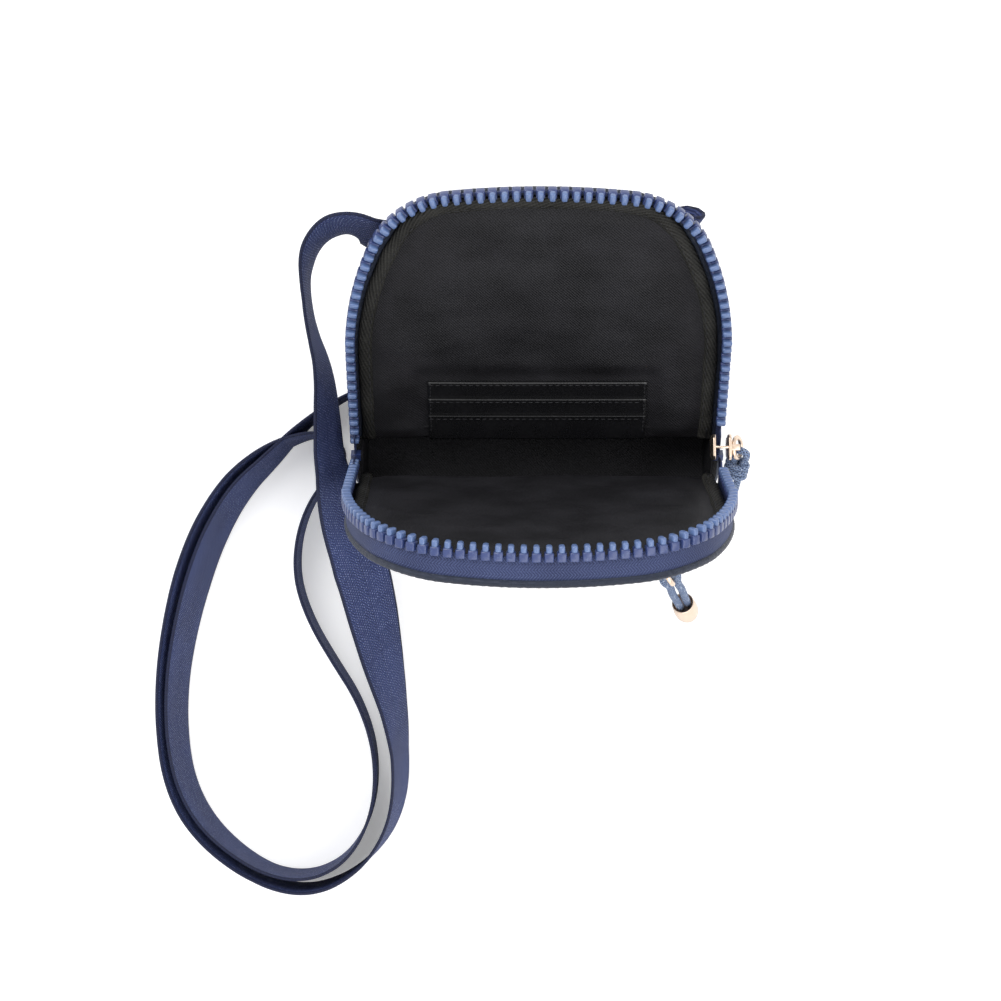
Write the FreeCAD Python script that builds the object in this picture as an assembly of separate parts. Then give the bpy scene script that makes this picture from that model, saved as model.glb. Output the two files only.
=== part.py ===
import FreeCAD, Part
import math
import os
from collections import namedtuple

"""Small zip pouch with a long webbing strap, standing open on its base.

Millimetres. X runs along the mouth, Y from the front half to the back half, Z up.
The origin is the middle of the base, on the surface that the pouch stands on.
Each half is drawn shut, upright against the seam plane y = 0, and then folded
open about the hinge line, which runs along X through the two ends of the zip.
"""

V = FreeCAD.Vector

# ---- driving sizes of the bag --------------------------------------------
HALF_WIDTH = 74.6        # seam line to the middle of the bag
HINGE_HEIGHT = 43.0      # ends of the zip, where the halves fold
SIDE_RISE = 46.7         # straight part of the side, above the hinge
SIDE_RADIUS = 127.5
CORNER_RADIUS = 36.2
CROWN_RADIUS = 317.0
CROWN_RISE = 121.9       # top of the seam line, above the hinge
CURL_WIDTH = 0.6         # the back's outer edge curls in by this at the sides
CURL_RISE = 4.5          # and by this at the crown
CURL_SIDE_RISE = 40.0
CURL_SIDE_RADIUS = 120.0
CURL_CORNER_RADIUS = 33.0
HALF_DEPTH = 15.0        # seam plane to the outer face of a half
BACK_LEAN = 51.0         # degrees open, as it stands
FRONT_LEAN = 15.0
FRONT_SPARE = 25.0       # degrees that the front can still drop
FOLD_GAP = 0.3           # halves stay this far above the hinge line
SLOPE_MARGIN = 3.0       # degrees between a fully open half and the tub
PIECE_GAP = 0.1          # between layers that lie on each other
OVERCUT = 0.01           # a cutter reaches this far past the face it opens
FLAT_MARGIN = 1.0        # and this far into free air

# ---- cloth and padding ---------------------------------------------------
NYLON = 0.9
LINING = 0.7
BACK_FOAM = 1.6
FRONT_FOAM = 1.2
BOARD = 1.2
TUB_CORNER = 7.0
LEAST_FILLET = 0.5
STOP_HALF = 2.2          # half width of a zip stop
STOP_DROP = 6.0          # its foot, below the hinge
ROLL_RADIUS = 1.7        # padded edge where panel and zip tape meet
ROLL_INSET = 0.7
ROLL_SIDES = 8
PANEL_INSET = 2.6
BINDING_RADIUS = 1.5
BINDING_INSET = 2.8
LINING_INSET = 3.4

# ---- main zip --------------------------------------------------------------
TAPE = 0.8
TAPE_START = 3.2         # distance of the tape's edge from the seam plane
TAPE_FOOT = 0.35         # the tape's edge at its two ends, below the first tooth
TOOTH_PITCH = 4.5
TOOTH_WIDTH = 1.9
TOOTH_HALF_THICK = 1.9
TOOTH_ROOT = 4.6         # back end of a tooth, from the seam plane
TOOTH_TIP = -1.1         # past the seam plane, so the rows interlock
SIDE_TIP = 0.75          # short teeth at the sides, clear of the slider's wedge
SHORT_TEETH = 54.0       # they reach this far above the hinge
FIRST_TOOTH = 14.0       # above the hinge, clear of the parked slider
SLOT_GAP = 0.05
HEAD_SHARE = 0.9         # of the tooth's half thickness
NECK_SHARE = 0.6
HEAD_CHAMFER = 0.5
BODY_CHAMFER = 0.3
LONG_HEAD_END = 0.8      # from the seam plane
LONG_BODY_START = 1.9
SHORT_HEAD_END = 2.3
SHORT_BODY_START = 3.0

# ---- main slider and its pull ----------------------------------------------
SLIDER_BASE = 0.1        # above the hinge
SLIDER_LENGTH = 13.0
SLIDER_MOUTH = 5.2       # half width at the mouth
SLIDER_TAIL = 4.0        # half width at the narrow end
PLATE_GAP = 2.6          # half the space between the plates
PLATE = 1.2
SHOULDER_SHARE = 0.45    # of the slider's length, below its mouth
SLIDER_TAIL_CUT = 1.2
SLIDER_TAIL_SIDE = 4.0   # straight part of the tail
SLIDER_TAIL_FLARE = 0.2
SLIDER_MOUTH_CUT = 1.5
WEDGE_HALF = 0.45
WEDGE_LENGTH = 5.0
WEDGE_DROP = 0.5         # below the slider's mouth
PARKED_BACK = 3.0        # the parked slider sits this far behind the seam plane
LUG_LENGTH = 6.4
LUG_RISE = 3.9
LUG_HALF_WIDE = 1.3
LUG_BAR = 1.2
LUG_LEG = 1.8
LUG_CUT_RISE = 1.0       # chamfer of the bail's outer corners
LUG_CUT_LENGTH = 1.2
RING_RADIUS = 4.2
RING_WIRE = 0.9
RING_SWING = 28.0        # degrees outward from hanging straight down
CORD_RADIUS = 1.5
CORD_GAP = 0.35
MAIN_LOOP = 36.0         # ring to the mouth of the bell cap
CAP_LENGTH = 13.0
CAP_RADIUS = 4.6
CAP_MOUTH = 4.1
CAP_WALL = 0.6
CAP_RECESS = 2.0         # depth of the mouth that the cord goes into
CAP_GRIP = 1.6           # half the spacing of the two strands in the cap
CAP_FLOOR = 0.3          # past the cord's end
CAP_LIP = (0.2, 0.6)     # the rim's flare and its height
CAP_SHOULDER = 0.1       # short of the full radius
CAP_SHOULDER_SHARE = 0.3
CAP_FORM = ((1.0, 0.5), (0.93, 0.68), (0.75, 0.84), (0.45, 0.95))
MAIN_PULL_END = (78.5, -30.0, 5.0)

# ---- front pocket -----------------------------------------------------------
POCKET_ZIP_RISE = 97.0   # above the hinge
POCKET_ZIP_HALF = 52.0
WINDOW_HALF = 4.0
POCKET_TAPE_HALF = 8.5
POCKET_TAPE = 0.5
COIL_SLIT = 0.5          # half the slit between the two coils
COIL_WIDE = 2.0
COIL_PROUD = 0.4         # outer face of the coil below the panel's face
POCKET_SHEET = 0.4
POCKET_HOLLOW = 1.9
POCKET_HALF_WIDTH = 53.5
POCKET_BOTTOM = 14.0     # above the hinge
POCKET_TOP = 108.0
POCKET_SLIDER_X = 44.0
POCKET_RING_TURN = 32.0  # degrees to the right of straight out
POCKET_PULL_DROOP = 60.0
POCKET_LOOP = 24.0
POCKET_SLIDER_HALF = 4.6
POCKET_SLIDER_WIDE = 4.2
POCKET_SLIDER_EDGE = [   # (x, z) from the mouth along the upper edge to the tail
    (-POCKET_SLIDER_HALF, POCKET_SLIDER_WIDE - 1.4),
    (-POCKET_SLIDER_HALF + 1.2, POCKET_SLIDER_WIDE - 0.4),
    (1.0, POCKET_SLIDER_WIDE),
    (POCKET_SLIDER_HALF - 1.0, POCKET_SLIDER_WIDE),
    (POCKET_SLIDER_HALF, POCKET_SLIDER_WIDE - 1.0),
]
POCKET_SLIDER_GAP = 0.3
POCKET_PLATE = 1.1
POCKET_BACK_PLATE = 0.8
POCKET_POST_NEAR = 2.5   # from the slider's closing end
POCKET_POST_FAR = 0.5
POCKET_POST_HALF = 0.25
POCKET_POST_BITE = 0.1   # into each plate

# ---- card pocket --------------------------------------------------------------
CARD_HALF_WIDTH = 44.5
SLIP_TOPS = (29.0, 21.0, 13.0)
SLIP = 0.6
SLIP_BASE = 1.0

# ---- strap ----------------------------------------------------------------------
STRAP_WIDTH = 25.0
STRAP_THICK = 1.3
TAB_INSET = 24.6         # seam line to the tab's outer end
TAB_LENGTH = 20.0
TAB_OUTER = HALF_WIDTH - TAB_INSET
TAB_INNER = TAB_OUTER - TAB_LENGTH
TAB_RISE = 92.0
TAB_LAYERS = 2.4
ROUTE_CUT = 0.45         # share of a run that an arc takes up at each end
ARC_STEP = 15.0          # degrees

BACK_TOP_SLOPE = BACK_LEAN + SLOPE_MARGIN
FRONT_TOP_SLOPE = FRONT_LEAN + FRONT_SPARE + SLOPE_MARGIN
APEX = HINGE_HEIGHT - FOLD_GAP
FOLD_EDGE = HINGE_HEIGHT + FOLD_GAP
OPEN_ANGLE = {"back": -BACK_LEAN, "front": FRONT_LEAN}
HINGE = V(0, 0, HINGE_HEIGHT)

Outline = namedtuple("Outline", "half_width side_rise side corner crown rise")
SEAM = Outline(HALF_WIDTH, SIDE_RISE, SIDE_RADIUS, CORNER_RADIUS, CROWN_RADIUS, CROWN_RISE)
CURLED = Outline(HALF_WIDTH - CURL_WIDTH, CURL_SIDE_RISE, CURL_SIDE_RADIUS, CURL_CORNER_RADIUS,
                 CROWN_RADIUS - CURL_RISE, CROWN_RISE - CURL_RISE)
RIM = {"back": CURLED, "front": SEAM}


def save(node, *solids):
    """Write the solids of one node."""
    shape = solids[0] if len(solids) == 1 else Part.makeCompound(list(solids))
    for solid in shape.Solids:
        assert solid.isValid(), node
    shape.exportStep("parts/" + node + ".step")


def box(x0, x1, y0, y1, z0, z1):
    return Part.makeBox(x1 - x0, y1 - y0, z1 - z0, V(x0, y0, z0))


def prism(points, along):
    """Extrude a flat polygon of points."""
    return Part.Face(Part.makePolygon(points + points[:1])).extrude(along)


# ---- the arch: outline of a half, seen from the front --------------------------
def centres(outline):
    """Middles (x, rise) of the side arc, the corner and the crown, on the right."""
    side = (outline.half_width - outline.side, outline.side_rise)
    crown = (0, outline.rise - outline.crown)
    to_side = outline.side - outline.corner
    to_crown = outline.crown - outline.corner
    apart = math.hypot(side[0], crown[1] - side[1])
    along = (to_side ** 2 - to_crown ** 2 + apart ** 2) / (2 * apart)
    off = math.sqrt(to_side ** 2 - along ** 2)
    ux = (crown[0] - side[0]) / apart
    uz = (crown[1] - side[1]) / apart
    corner = (side[0] + ux * along - uz * off, side[1] + uz * along + ux * off)
    return side, corner, crown


def arch_angles(outline):
    """Outward angles from level where the side arc and the corner end."""
    side, corner, crown = centres(outline)
    low = math.atan2(corner[1] - side[1], corner[0] - side[0])
    high = math.atan2(corner[1] - crown[1], corner[0])
    return low, high


def arch_points(outline, inset):
    """Points (x, z) up the right side, from the side arc's foot to the crown."""
    side, corner, _ = centres(outline)
    low, high = arch_angles(outline)
    points = []
    for middle, radius, angle in (
            (side, outline.side, 0),
            (side, outline.side, low / 2),
            (corner, outline.corner, low),
            (corner, outline.corner, (low + high) / 2),
            (corner, outline.corner, high)):
        reach = radius - inset
        points.append((middle[0] + reach * math.cos(angle),
                       HINGE_HEIGHT + middle[1] + reach * math.sin(angle)))
    return points


def arch_edges(outline, inset, bottom, y):
    """Edges of the arch from its left foot over the crown to its right foot."""
    points = arch_points(outline, inset)
    top = V(0, y, HINGE_HEIGHT + outline.rise - inset)
    foot = outline.half_width - inset
    right = [V(x, y, z) for x, z in points]
    left = [V(-x, y, z) for x, z in points]
    return [
        Part.LineSegment(V(-foot, y, bottom), left[0]).toShape(),
        Part.Arc(left[0], left[1], left[2]).toShape(),
        Part.Arc(left[2], left[3], left[4]).toShape(),
        Part.Arc(left[4], top, right[4]).toShape(),
        Part.Arc(right[4], right[3], right[2]).toShape(),
        Part.Arc(right[2], right[1], right[0]).toShape(),
        Part.LineSegment(right[0], V(foot, y, bottom)).toShape(),
    ]


def slab(outline, inset, y0, y1, bottom=FOLD_EDGE):
    """A sheet with the outline of a half, from y0 to y1."""
    edges = arch_edges(outline, inset, bottom, y0)
    foot = outline.half_width - inset
    edges.append(Part.LineSegment(V(foot, y0, bottom), V(-foot, y0, bottom)).toShape())
    return Part.Face(Part.Wire(edges)).extrude(V(0, y1 - y0, 0))


def band_wire(outline, outer, inner, y, bottom=FOLD_EDGE):
    """Closed outline of a strip that follows the arch, between two insets."""
    foot_out = outline.half_width - outer
    foot_in = outline.half_width - inner
    right = Part.LineSegment(V(foot_out, y, bottom), V(foot_in, y, bottom)).toShape()
    left = Part.LineSegment(V(-foot_in, y, bottom), V(-foot_out, y, bottom)).toShape()
    back = arch_edges(outline, inner, bottom, y)
    edges = arch_edges(outline, outer, bottom, y) + [right] + back[::-1] + [left]
    return Part.Wire(Part.__sortEdges__(edges))


def band(outline, outer, inner, y0, y1):
    """A strip that follows the arch, from y0 to y1."""
    return Part.Face(band_wire(outline, outer, inner, y0)).extrude(V(0, y1 - y0, 0))


def roll(outline, inset, y, radius, bottom=FOLD_EDGE):
    """A rolled edge: a tube with flat sides that follows the arch."""
    foot = outline.half_width - inset
    ring = []
    for k in range(ROLL_SIDES + 1):
        turn = 2 * math.pi * (k + 0.5) / ROLL_SIDES
        reach = radius / math.cos(math.pi / ROLL_SIDES)
        ring.append(V(-foot + reach * math.cos(turn), y + reach * math.sin(turn), bottom))
    path = Part.Wire(arch_edges(outline, inset, bottom, y))
    return path.makePipeShell([Part.makePolygon(ring)], True, False)


def opened(shape, half):
    """Fold a piece of one half from shut to the way it stands."""
    turned = shape.copy()
    turned.rotate(HINGE, V(1, 0, 0), OPEN_ANGLE[half])
    return turned


def mirrored(shape):
    """The front half is drawn as the back half's mirror image."""
    return shape.mirror(V(0, 0, 0), V(0, 1, 0))


# ---- lower tub -------------------------------------------------------------------
def roof(inset):
    """The space under the two slopes that the halves fold down to."""
    depth = HALF_DEPTH + FLAT_MARGIN
    back = APEX - depth * math.tan(math.radians(BACK_TOP_SLOPE))
    front = APEX - depth * math.tan(math.radians(FRONT_TOP_SLOPE))
    wide = HALF_WIDTH + 2 * NYLON
    points = [
        V(-wide, -depth, inset),
        V(-wide, -depth, front),
        V(-wide, 0, APEX),
        V(-wide, depth, back),
        V(-wide, depth, inset),
    ]
    return prism(points, V(2 * wide, 0, 0))


def tub_block(inset):
    """The tub's outer form, drawn in by inset, before its top is sloped."""
    x = HALF_WIDTH + NYLON / 2 - inset
    y = HALF_DEPTH - inset
    block = box(-x, x, -y, y, inset, HINGE_HEIGHT)
    upright = [e for e in block.Edges if abs(e.tangentAt(e.FirstParameter).z) > 0.9]
    block = block.makeFillet(TUB_CORNER - inset, upright)
    low = [e for e in block.Edges if e.BoundBox.ZMax < inset + 0.01]
    radius = TUB_CORNER / 2 - inset
    return block.makeFillet(radius, low) if radius > LEAST_FILLET else block


def tub_layer(outer, inner):
    """One layer of the tub's walls and floor."""
    hollow = tub_block(inner)
    wide = 2 * HALF_WIDTH
    deep = 2 * HALF_DEPTH
    open_top = box(-wide, wide, -deep, deep,
                   HINGE_HEIGHT - OVERCUT, HINGE_HEIGHT + FLAT_MARGIN)
    return tub_block(outer).cut(hollow).cut(open_top).common(roof(0))


def make_tub():
    """Shell, padding, lining, base board and the two stops in the tub's notches."""
    padding_out = NYLON + PIECE_GAP
    padding_in = padding_out + BACK_FOAM
    lining_out = padding_in + PIECE_GAP
    lining_in = lining_out + LINING
    board_x = HALF_WIDTH - TUB_CORNER - padding_out
    board_y = HALF_DEPTH - TUB_CORNER / 2 - padding_out
    stop_low = APEX - STOP_DROP
    notches = []
    stops = []
    for side in (-1, 1):
        x = side * HALF_WIDTH
        post = box(x - STOP_HALF, x + STOP_HALF, -STOP_HALF, STOP_HALF,
                   stop_low, HINGE_HEIGHT)
        stops.append(post.common(roof(0)))
        grown = STOP_HALF + PIECE_GAP
        near, far = sorted((x - side * (lining_in + FLAT_MARGIN), x + side * STOP_HALF * 2))
        notches.append(box(near, far, -grown, grown,
                           stop_low - PIECE_GAP, HINGE_HEIGHT + FLAT_MARGIN))
    cuts = Part.makeCompound(notches)
    floor_gap = box(-HALF_WIDTH, HALF_WIDTH, -HALF_DEPTH, HALF_DEPTH, 0, padding_in)
    save("lower_shell", tub_layer(0, NYLON).cut(cuts))
    save("lower_padding", tub_layer(padding_out, padding_in).cut(floor_gap).cut(cuts))
    save("lower_lining", tub_layer(lining_out, lining_in).cut(cuts))
    save("base_board", box(-board_x, board_x, -board_y, board_y,
                           padding_out, padding_out + BOARD))
    save("zip_stop_left", stops[0])
    save("zip_stop_right", stops[1])


# ---- main zip: tapes and interlocking teeth ----------------------------------------
def tooth(tip, head_end, body_start):
    """One tooth, reaching along +Y, with its middle on the seam line."""
    t = TOOTH_HALF_THICK
    head = t * HEAD_SHARE
    neck = t * NECK_SHARE
    slot = TAPE / 2 + SLOT_GAP
    right = [
        (neck, tip),
        (head, tip + HEAD_CHAMFER),
        (head, head_end - HEAD_CHAMFER),
        (neck, head_end),
        (neck, body_start - BODY_CHAMFER),
        (t, body_start),
        (t, TOOTH_ROOT),
        (slot, TOOTH_ROOT),
        (slot, TAPE_START - SLOT_GAP),
    ]
    left = [(-x, y) for x, y in reversed(right)]
    points = [V(x, y, -TOOTH_WIDTH / 2) for x, y in right + left]
    return prism(points, V(0, 0, TOOTH_WIDTH))


def along_arch(distance):
    """Place (x, z) and angle of the seam line, this far from the crown."""
    side, corner, crown = centres(SEAM)
    low, high = arch_angles(SEAM)
    sign = 1 if distance >= 0 else -1
    left = abs(distance)
    for middle, radius, start, end in ((crown, SEAM.crown, math.pi / 2, high),
                                       (corner, SEAM.corner, high, low),
                                       (side, SEAM.side, low, 0)):
        angle = max(start - left / radius, end)
        left -= (start - angle) * radius
        if angle > end:
            break
    x = middle[0] + radius * math.cos(angle)
    z = HINGE_HEIGHT + middle[1] + radius * math.sin(angle) - max(left, 0)
    return sign * x, z, sign * (math.pi / 2 - angle)


def teeth_row(phase):
    """A row of teeth, each square to the seam line."""
    long_tooth = tooth(TOOTH_TIP, LONG_HEAD_END, LONG_BODY_START)
    short_tooth = tooth(SIDE_TIP, SHORT_HEAD_END, SHORT_BODY_START)
    row = []
    count = int(2 * CROWN_RISE / TOOTH_PITCH)
    for k in range(-count, count + 1):
        x, z, turn = along_arch((k + phase) * TOOTH_PITCH)
        if z < HINGE_HEIGHT + FIRST_TOOTH:
            continue
        piece = (short_tooth if z < HINGE_HEIGHT + SHORT_TEETH else long_tooth).copy()
        piece.rotate(V(0, 0, 0), V(0, 1, 0), math.degrees(turn) - 90)
        piece.translate(V(x, 0, z))
        row.append(piece)
    return row


def zip_tape(rim, far_edge):
    """Tape from the teeth to the edge roll, wider at its two feet.

    Past the teeth it slopes in from the seam line to the rim."""
    half = TAPE / 2
    past_teeth = TOOTH_ROOT + SLOT_GAP
    tape = band(SEAM, -half, half, TAPE_START, past_teeth)
    ends = [band_wire(SEAM, -half, half, past_teeth), band_wire(rim, -half, half, far_edge)]
    tape = tape.fuse(Part.makeLoft(ends, True, True))
    foot_top = HINGE_HEIGHT + FIRST_TOOTH - TOOTH_WIDTH
    wide = HALF_WIDTH + FLAT_MARGIN
    low_part = box(-wide, wide, 0, HALF_DEPTH, FOLD_EDGE, foot_top)
    foot = band(SEAM, -half, half, TAPE_FOOT, TAPE_START).common(low_part)
    return tape.fuse(foot).removeSplitter()


# ---- the two halves -----------------------------------------------------------------
def make_half(half, foam, extra):
    """Panel, padding, lining, edge roll, binding and zip side of one half.

    extra is the depth that the front pocket takes between panel and padding."""
    turn = mirrored if half == "front" else (lambda shape: shape)
    panel_in = HALF_DEPTH - NYLON
    foam_out = panel_in - PIECE_GAP - extra
    foam_in = foam_out - foam
    lining_out = foam_in - PIECE_GAP
    lining_in = lining_out - LINING
    roll_y = HALF_DEPTH - ROLL_RADIUS
    tape_end = roll_y - ROLL_RADIUS - PIECE_GAP
    binding_y = lining_in - PIECE_GAP - BINDING_RADIUS
    rim = RIM[half]
    panel = slab(rim, PANEL_INSET, panel_in, HALF_DEPTH)
    pieces = {
        "foam": [slab(rim, LINING_INSET, foam_in, foam_out)],
        "lining": [slab(rim, LINING_INSET, lining_in, lining_out)],
        "edge_roll": [roll(rim, ROLL_INSET, roll_y, ROLL_RADIUS)],
        "binding": [roll(rim, BINDING_INSET, binding_y, BINDING_RADIUS)],
        "zip_tape": [zip_tape(rim, tape_end)],
        "zip_teeth": teeth_row(0 if half == "back" else 0.5),
    }
    if half == "front":
        rise = HINGE_HEIGHT + POCKET_ZIP_RISE
        panel = panel.cut(box(-POCKET_ZIP_HALF, POCKET_ZIP_HALF, 0, HALF_DEPTH + FLAT_MARGIN,
                              rise - WINDOW_HALF, rise + WINDOW_HALF))
    pieces["panel"] = [panel]
    for name, solids in pieces.items():
        save(half + "_" + name, *[opened(turn(solid), half) for solid in solids])
    return lining_in


def make_card_pocket(lining_in):
    """Three stepped card slips on the back lining."""
    face = lining_in - PIECE_GAP
    for name, top in zip(("top", "middle", "bottom"), SLIP_TOPS):
        sheet = box(-CARD_HALF_WIDTH, CARD_HALF_WIDTH, face - SLIP, face,
                    HINGE_HEIGHT + SLIP_BASE, HINGE_HEIGHT + top)
        save("card_slip_" + name, opened(sheet, "back"))
        face -= SLIP + PIECE_GAP


def make_front_pocket():
    """Pocket bag, zip tapes and coils behind the window in the front panel."""
    panel_in = HALF_DEPTH - NYLON
    rise = HINGE_HEIGHT + POCKET_ZIP_RISE
    outer = panel_in - PIECE_GAP
    inner = outer - 2 * POCKET_SHEET - POCKET_HOLLOW
    low = HINGE_HEIGHT + POCKET_BOTTOM
    high = HINGE_HEIGHT + POCKET_TOP
    bag = box(-POCKET_HALF_WIDTH, POCKET_HALF_WIDTH, inner, outer, low, high)
    hollow = box(-POCKET_HALF_WIDTH + POCKET_SHEET, POCKET_HALF_WIDTH - POCKET_SHEET,
                 inner + POCKET_SHEET, outer - POCKET_SHEET,
                 low + POCKET_SHEET, high - POCKET_SHEET)
    tape_room = POCKET_TAPE_HALF + PIECE_GAP
    window = box(-POCKET_ZIP_HALF - PIECE_GAP, POCKET_ZIP_HALF + PIECE_GAP,
                 outer - POCKET_SHEET - OVERCUT, outer + FLAT_MARGIN,
                 rise - tape_room, rise + tape_room)
    save("front_pocket_bag", opened(mirrored(bag.cut(hollow).cut(window)), "front"))
    tapes = []
    coils = []
    for side in (-1, 1):
        near = rise + side * COIL_SLIT
        far = rise + side * POCKET_TAPE_HALF
        tapes.append(box(-POCKET_ZIP_HALF, POCKET_ZIP_HALF, outer - POCKET_TAPE, outer,
                         min(near, far), max(near, far)))
        far = near + side * COIL_WIDE
        coils.append(box(-POCKET_ZIP_HALF, POCKET_ZIP_HALF, outer, HALF_DEPTH - COIL_PROUD,
                         min(near, far), max(near, far)))
    save("pocket_zip_tape", *[opened(mirrored(t), "front") for t in tapes])
    save("pocket_zip_coil", *[opened(mirrored(c), "front") for c in coils])


# ---- sliders, rings, cord loops and bell caps ------------------------------------------
def lug(length, rise, half_wide, bar):
    """A bail on the plane x = 0 that bridges along Z, open along Y."""
    half = length / 2
    corner = [(0, half), (rise - LUG_CUT_RISE, half), (rise, half - LUG_CUT_LENGTH)]
    outer = [V(x, -half_wide, -z) for x, z in corner]
    outer += [V(x, -half_wide, z) for x, z in reversed(corner)]
    body = prism(outer, V(0, 2 * half_wide, 0))
    hole = box(0, rise - bar, -half_wide - FLAT_MARGIN, half_wide + FLAT_MARGIN,
               LUG_LEG - half, half - LUG_LEG)
    return body.cut(hole)


def ring_and_pull(pivot, ring_way, ring_axis, pull_way, loop_length):
    """A wire ring hung at pivot, the cord loop through it and its bell cap.

    ring_way points from the pivot to the ring's middle, ring_axis is square to
    the ring, and pull_way points along the loop to its cap."""
    middle = pivot + ring_way * RING_RADIUS
    ring = Part.makeTorus(RING_RADIUS, RING_WIRE, middle, ring_axis)
    outward = (pull_way - ring_axis * pull_way.dot(ring_axis)).normalize()
    hook = middle + outward * RING_RADIUS
    across = ring_axis.cross(outward).cross(pull_way).normalize()
    bend = CORD_RADIUS + RING_WIRE + CORD_GAP
    mouth = hook + pull_way * loop_length
    reach = loop_length + CAP_RECESS
    taper = math.asin((bend - CAP_GRIP) / reach)
    run = reach - bend * math.sin(taper)
    tops = []
    ends = []
    for side in (1, -1):
        out = across * (side * math.cos(taper)) + pull_way * math.sin(taper)
        down = pull_way * math.cos(taper) - across * (side * math.sin(taper))
        tops.append(hook + out * bend)
        ends.append(tops[-1] + down * (run / math.cos(taper)))
    edges = [
        Part.LineSegment(ends[0], tops[0]).toShape(),
        Part.Arc(tops[0], hook - pull_way * bend, tops[1]).toShape(),
        Part.LineSegment(tops[1], ends[1]).toShape(),
    ]
    profile = Part.Wire(Part.Circle(ends[0], tops[0] - ends[0], CORD_RADIUS).toShape())
    loop = Part.Wire(edges).makePipeShell([profile], True, False)
    return ring, loop, bell_cap(mouth, pull_way)


def bell_cap(mouth, way):
    """A turned bell cap: open mouth, thin rim, full body and rounded tip."""
    rim = CAP_MOUTH
    bore = CAP_MOUTH - CAP_WALL
    flare, lip = CAP_LIP
    floor = CAP_RECESS + CAP_FLOOR
    profile = [(bore, 0), (rim, 0), (rim + flare, lip),
               (CAP_RADIUS - CAP_SHOULDER, CAP_LENGTH * CAP_SHOULDER_SHARE)]
    profile += [(CAP_RADIUS * wide, CAP_LENGTH * share) for wide, share in CAP_FORM]
    profile += [(0, CAP_LENGTH), (0, floor), (bore, floor)]
    points = [V(r, 0, z) for r, z in profile]
    face = Part.Face(Part.makePolygon(points + points[:1]))
    cap = face.revolve(V(0, 0, 0), V(0, 0, 1), 360)
    cap.Placement = FreeCAD.Placement(mouth, FreeCAD.Rotation(V(0, 0, 1), way))
    return cap


def slider_plate(x0, x1):
    """One plate of the main slider: wide mouth above, narrow tail below."""
    low = HINGE_HEIGHT + SLIDER_BASE
    high = low + SLIDER_LENGTH
    half = [(SLIDER_TAIL - SLIDER_TAIL_CUT, low),
            (SLIDER_TAIL, low + SLIDER_TAIL_CUT),
            (SLIDER_TAIL + SLIDER_TAIL_FLARE, low + SLIDER_TAIL_SIDE),
            (SLIDER_MOUTH, high - SLIDER_LENGTH * SHOULDER_SHARE),
            (SLIDER_MOUTH, high - SLIDER_MOUTH_CUT),
            (SLIDER_MOUTH - SLIDER_MOUTH_CUT, high)]
    points = [V(x0, y + PARKED_BACK, z) for y, z in half]
    points += [V(x0, -y + PARKED_BACK, z) for y, z in reversed(half)]
    return prism(points, V(x1 - x0, 0, 0))


def make_main_slider():
    """Two plates joined by a wedge, with a bail outside, a ring and a pull."""
    x = HALF_WIDTH
    outer_face = x + PLATE_GAP + PLATE
    high = HINGE_HEIGHT + SLIDER_BASE + SLIDER_LENGTH
    inner = slider_plate(x - PLATE_GAP - PLATE, x - PLATE_GAP)
    outer = slider_plate(x + PLATE_GAP, outer_face)
    wedge = box(x - PLATE_GAP, x + PLATE_GAP, PARKED_BACK - WEDGE_HALF, PARKED_BACK + WEDGE_HALF,
                high - WEDGE_DROP - WEDGE_LENGTH, high - WEDGE_DROP)
    bail = lug(LUG_LENGTH, LUG_RISE, LUG_HALF_WIDE, LUG_BAR)
    middle = V(outer_face, PARKED_BACK, high - SLIDER_LENGTH / 2)
    bail.translate(middle)
    save("main_slider", inner.fuse([outer, wedge, bail]).removeSplitter())
    pivot = middle + V((LUG_RISE - LUG_BAR) / 2, 0, 0)
    swing = math.radians(RING_SWING)
    ring_way = V(math.sin(swing), 0, -math.cos(swing))
    ring_axis = V(math.cos(swing), 0, math.sin(swing))
    pull_way = (V(MAIN_PULL_END) - (pivot + ring_way * 2 * RING_RADIUS)).normalize()
    ring, loop, cap = ring_and_pull(pivot, ring_way, ring_axis, pull_way, MAIN_LOOP)
    save("main_ring", ring)
    save("main_pull_cord", loop)
    save("main_pull_cap", cap)


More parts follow.
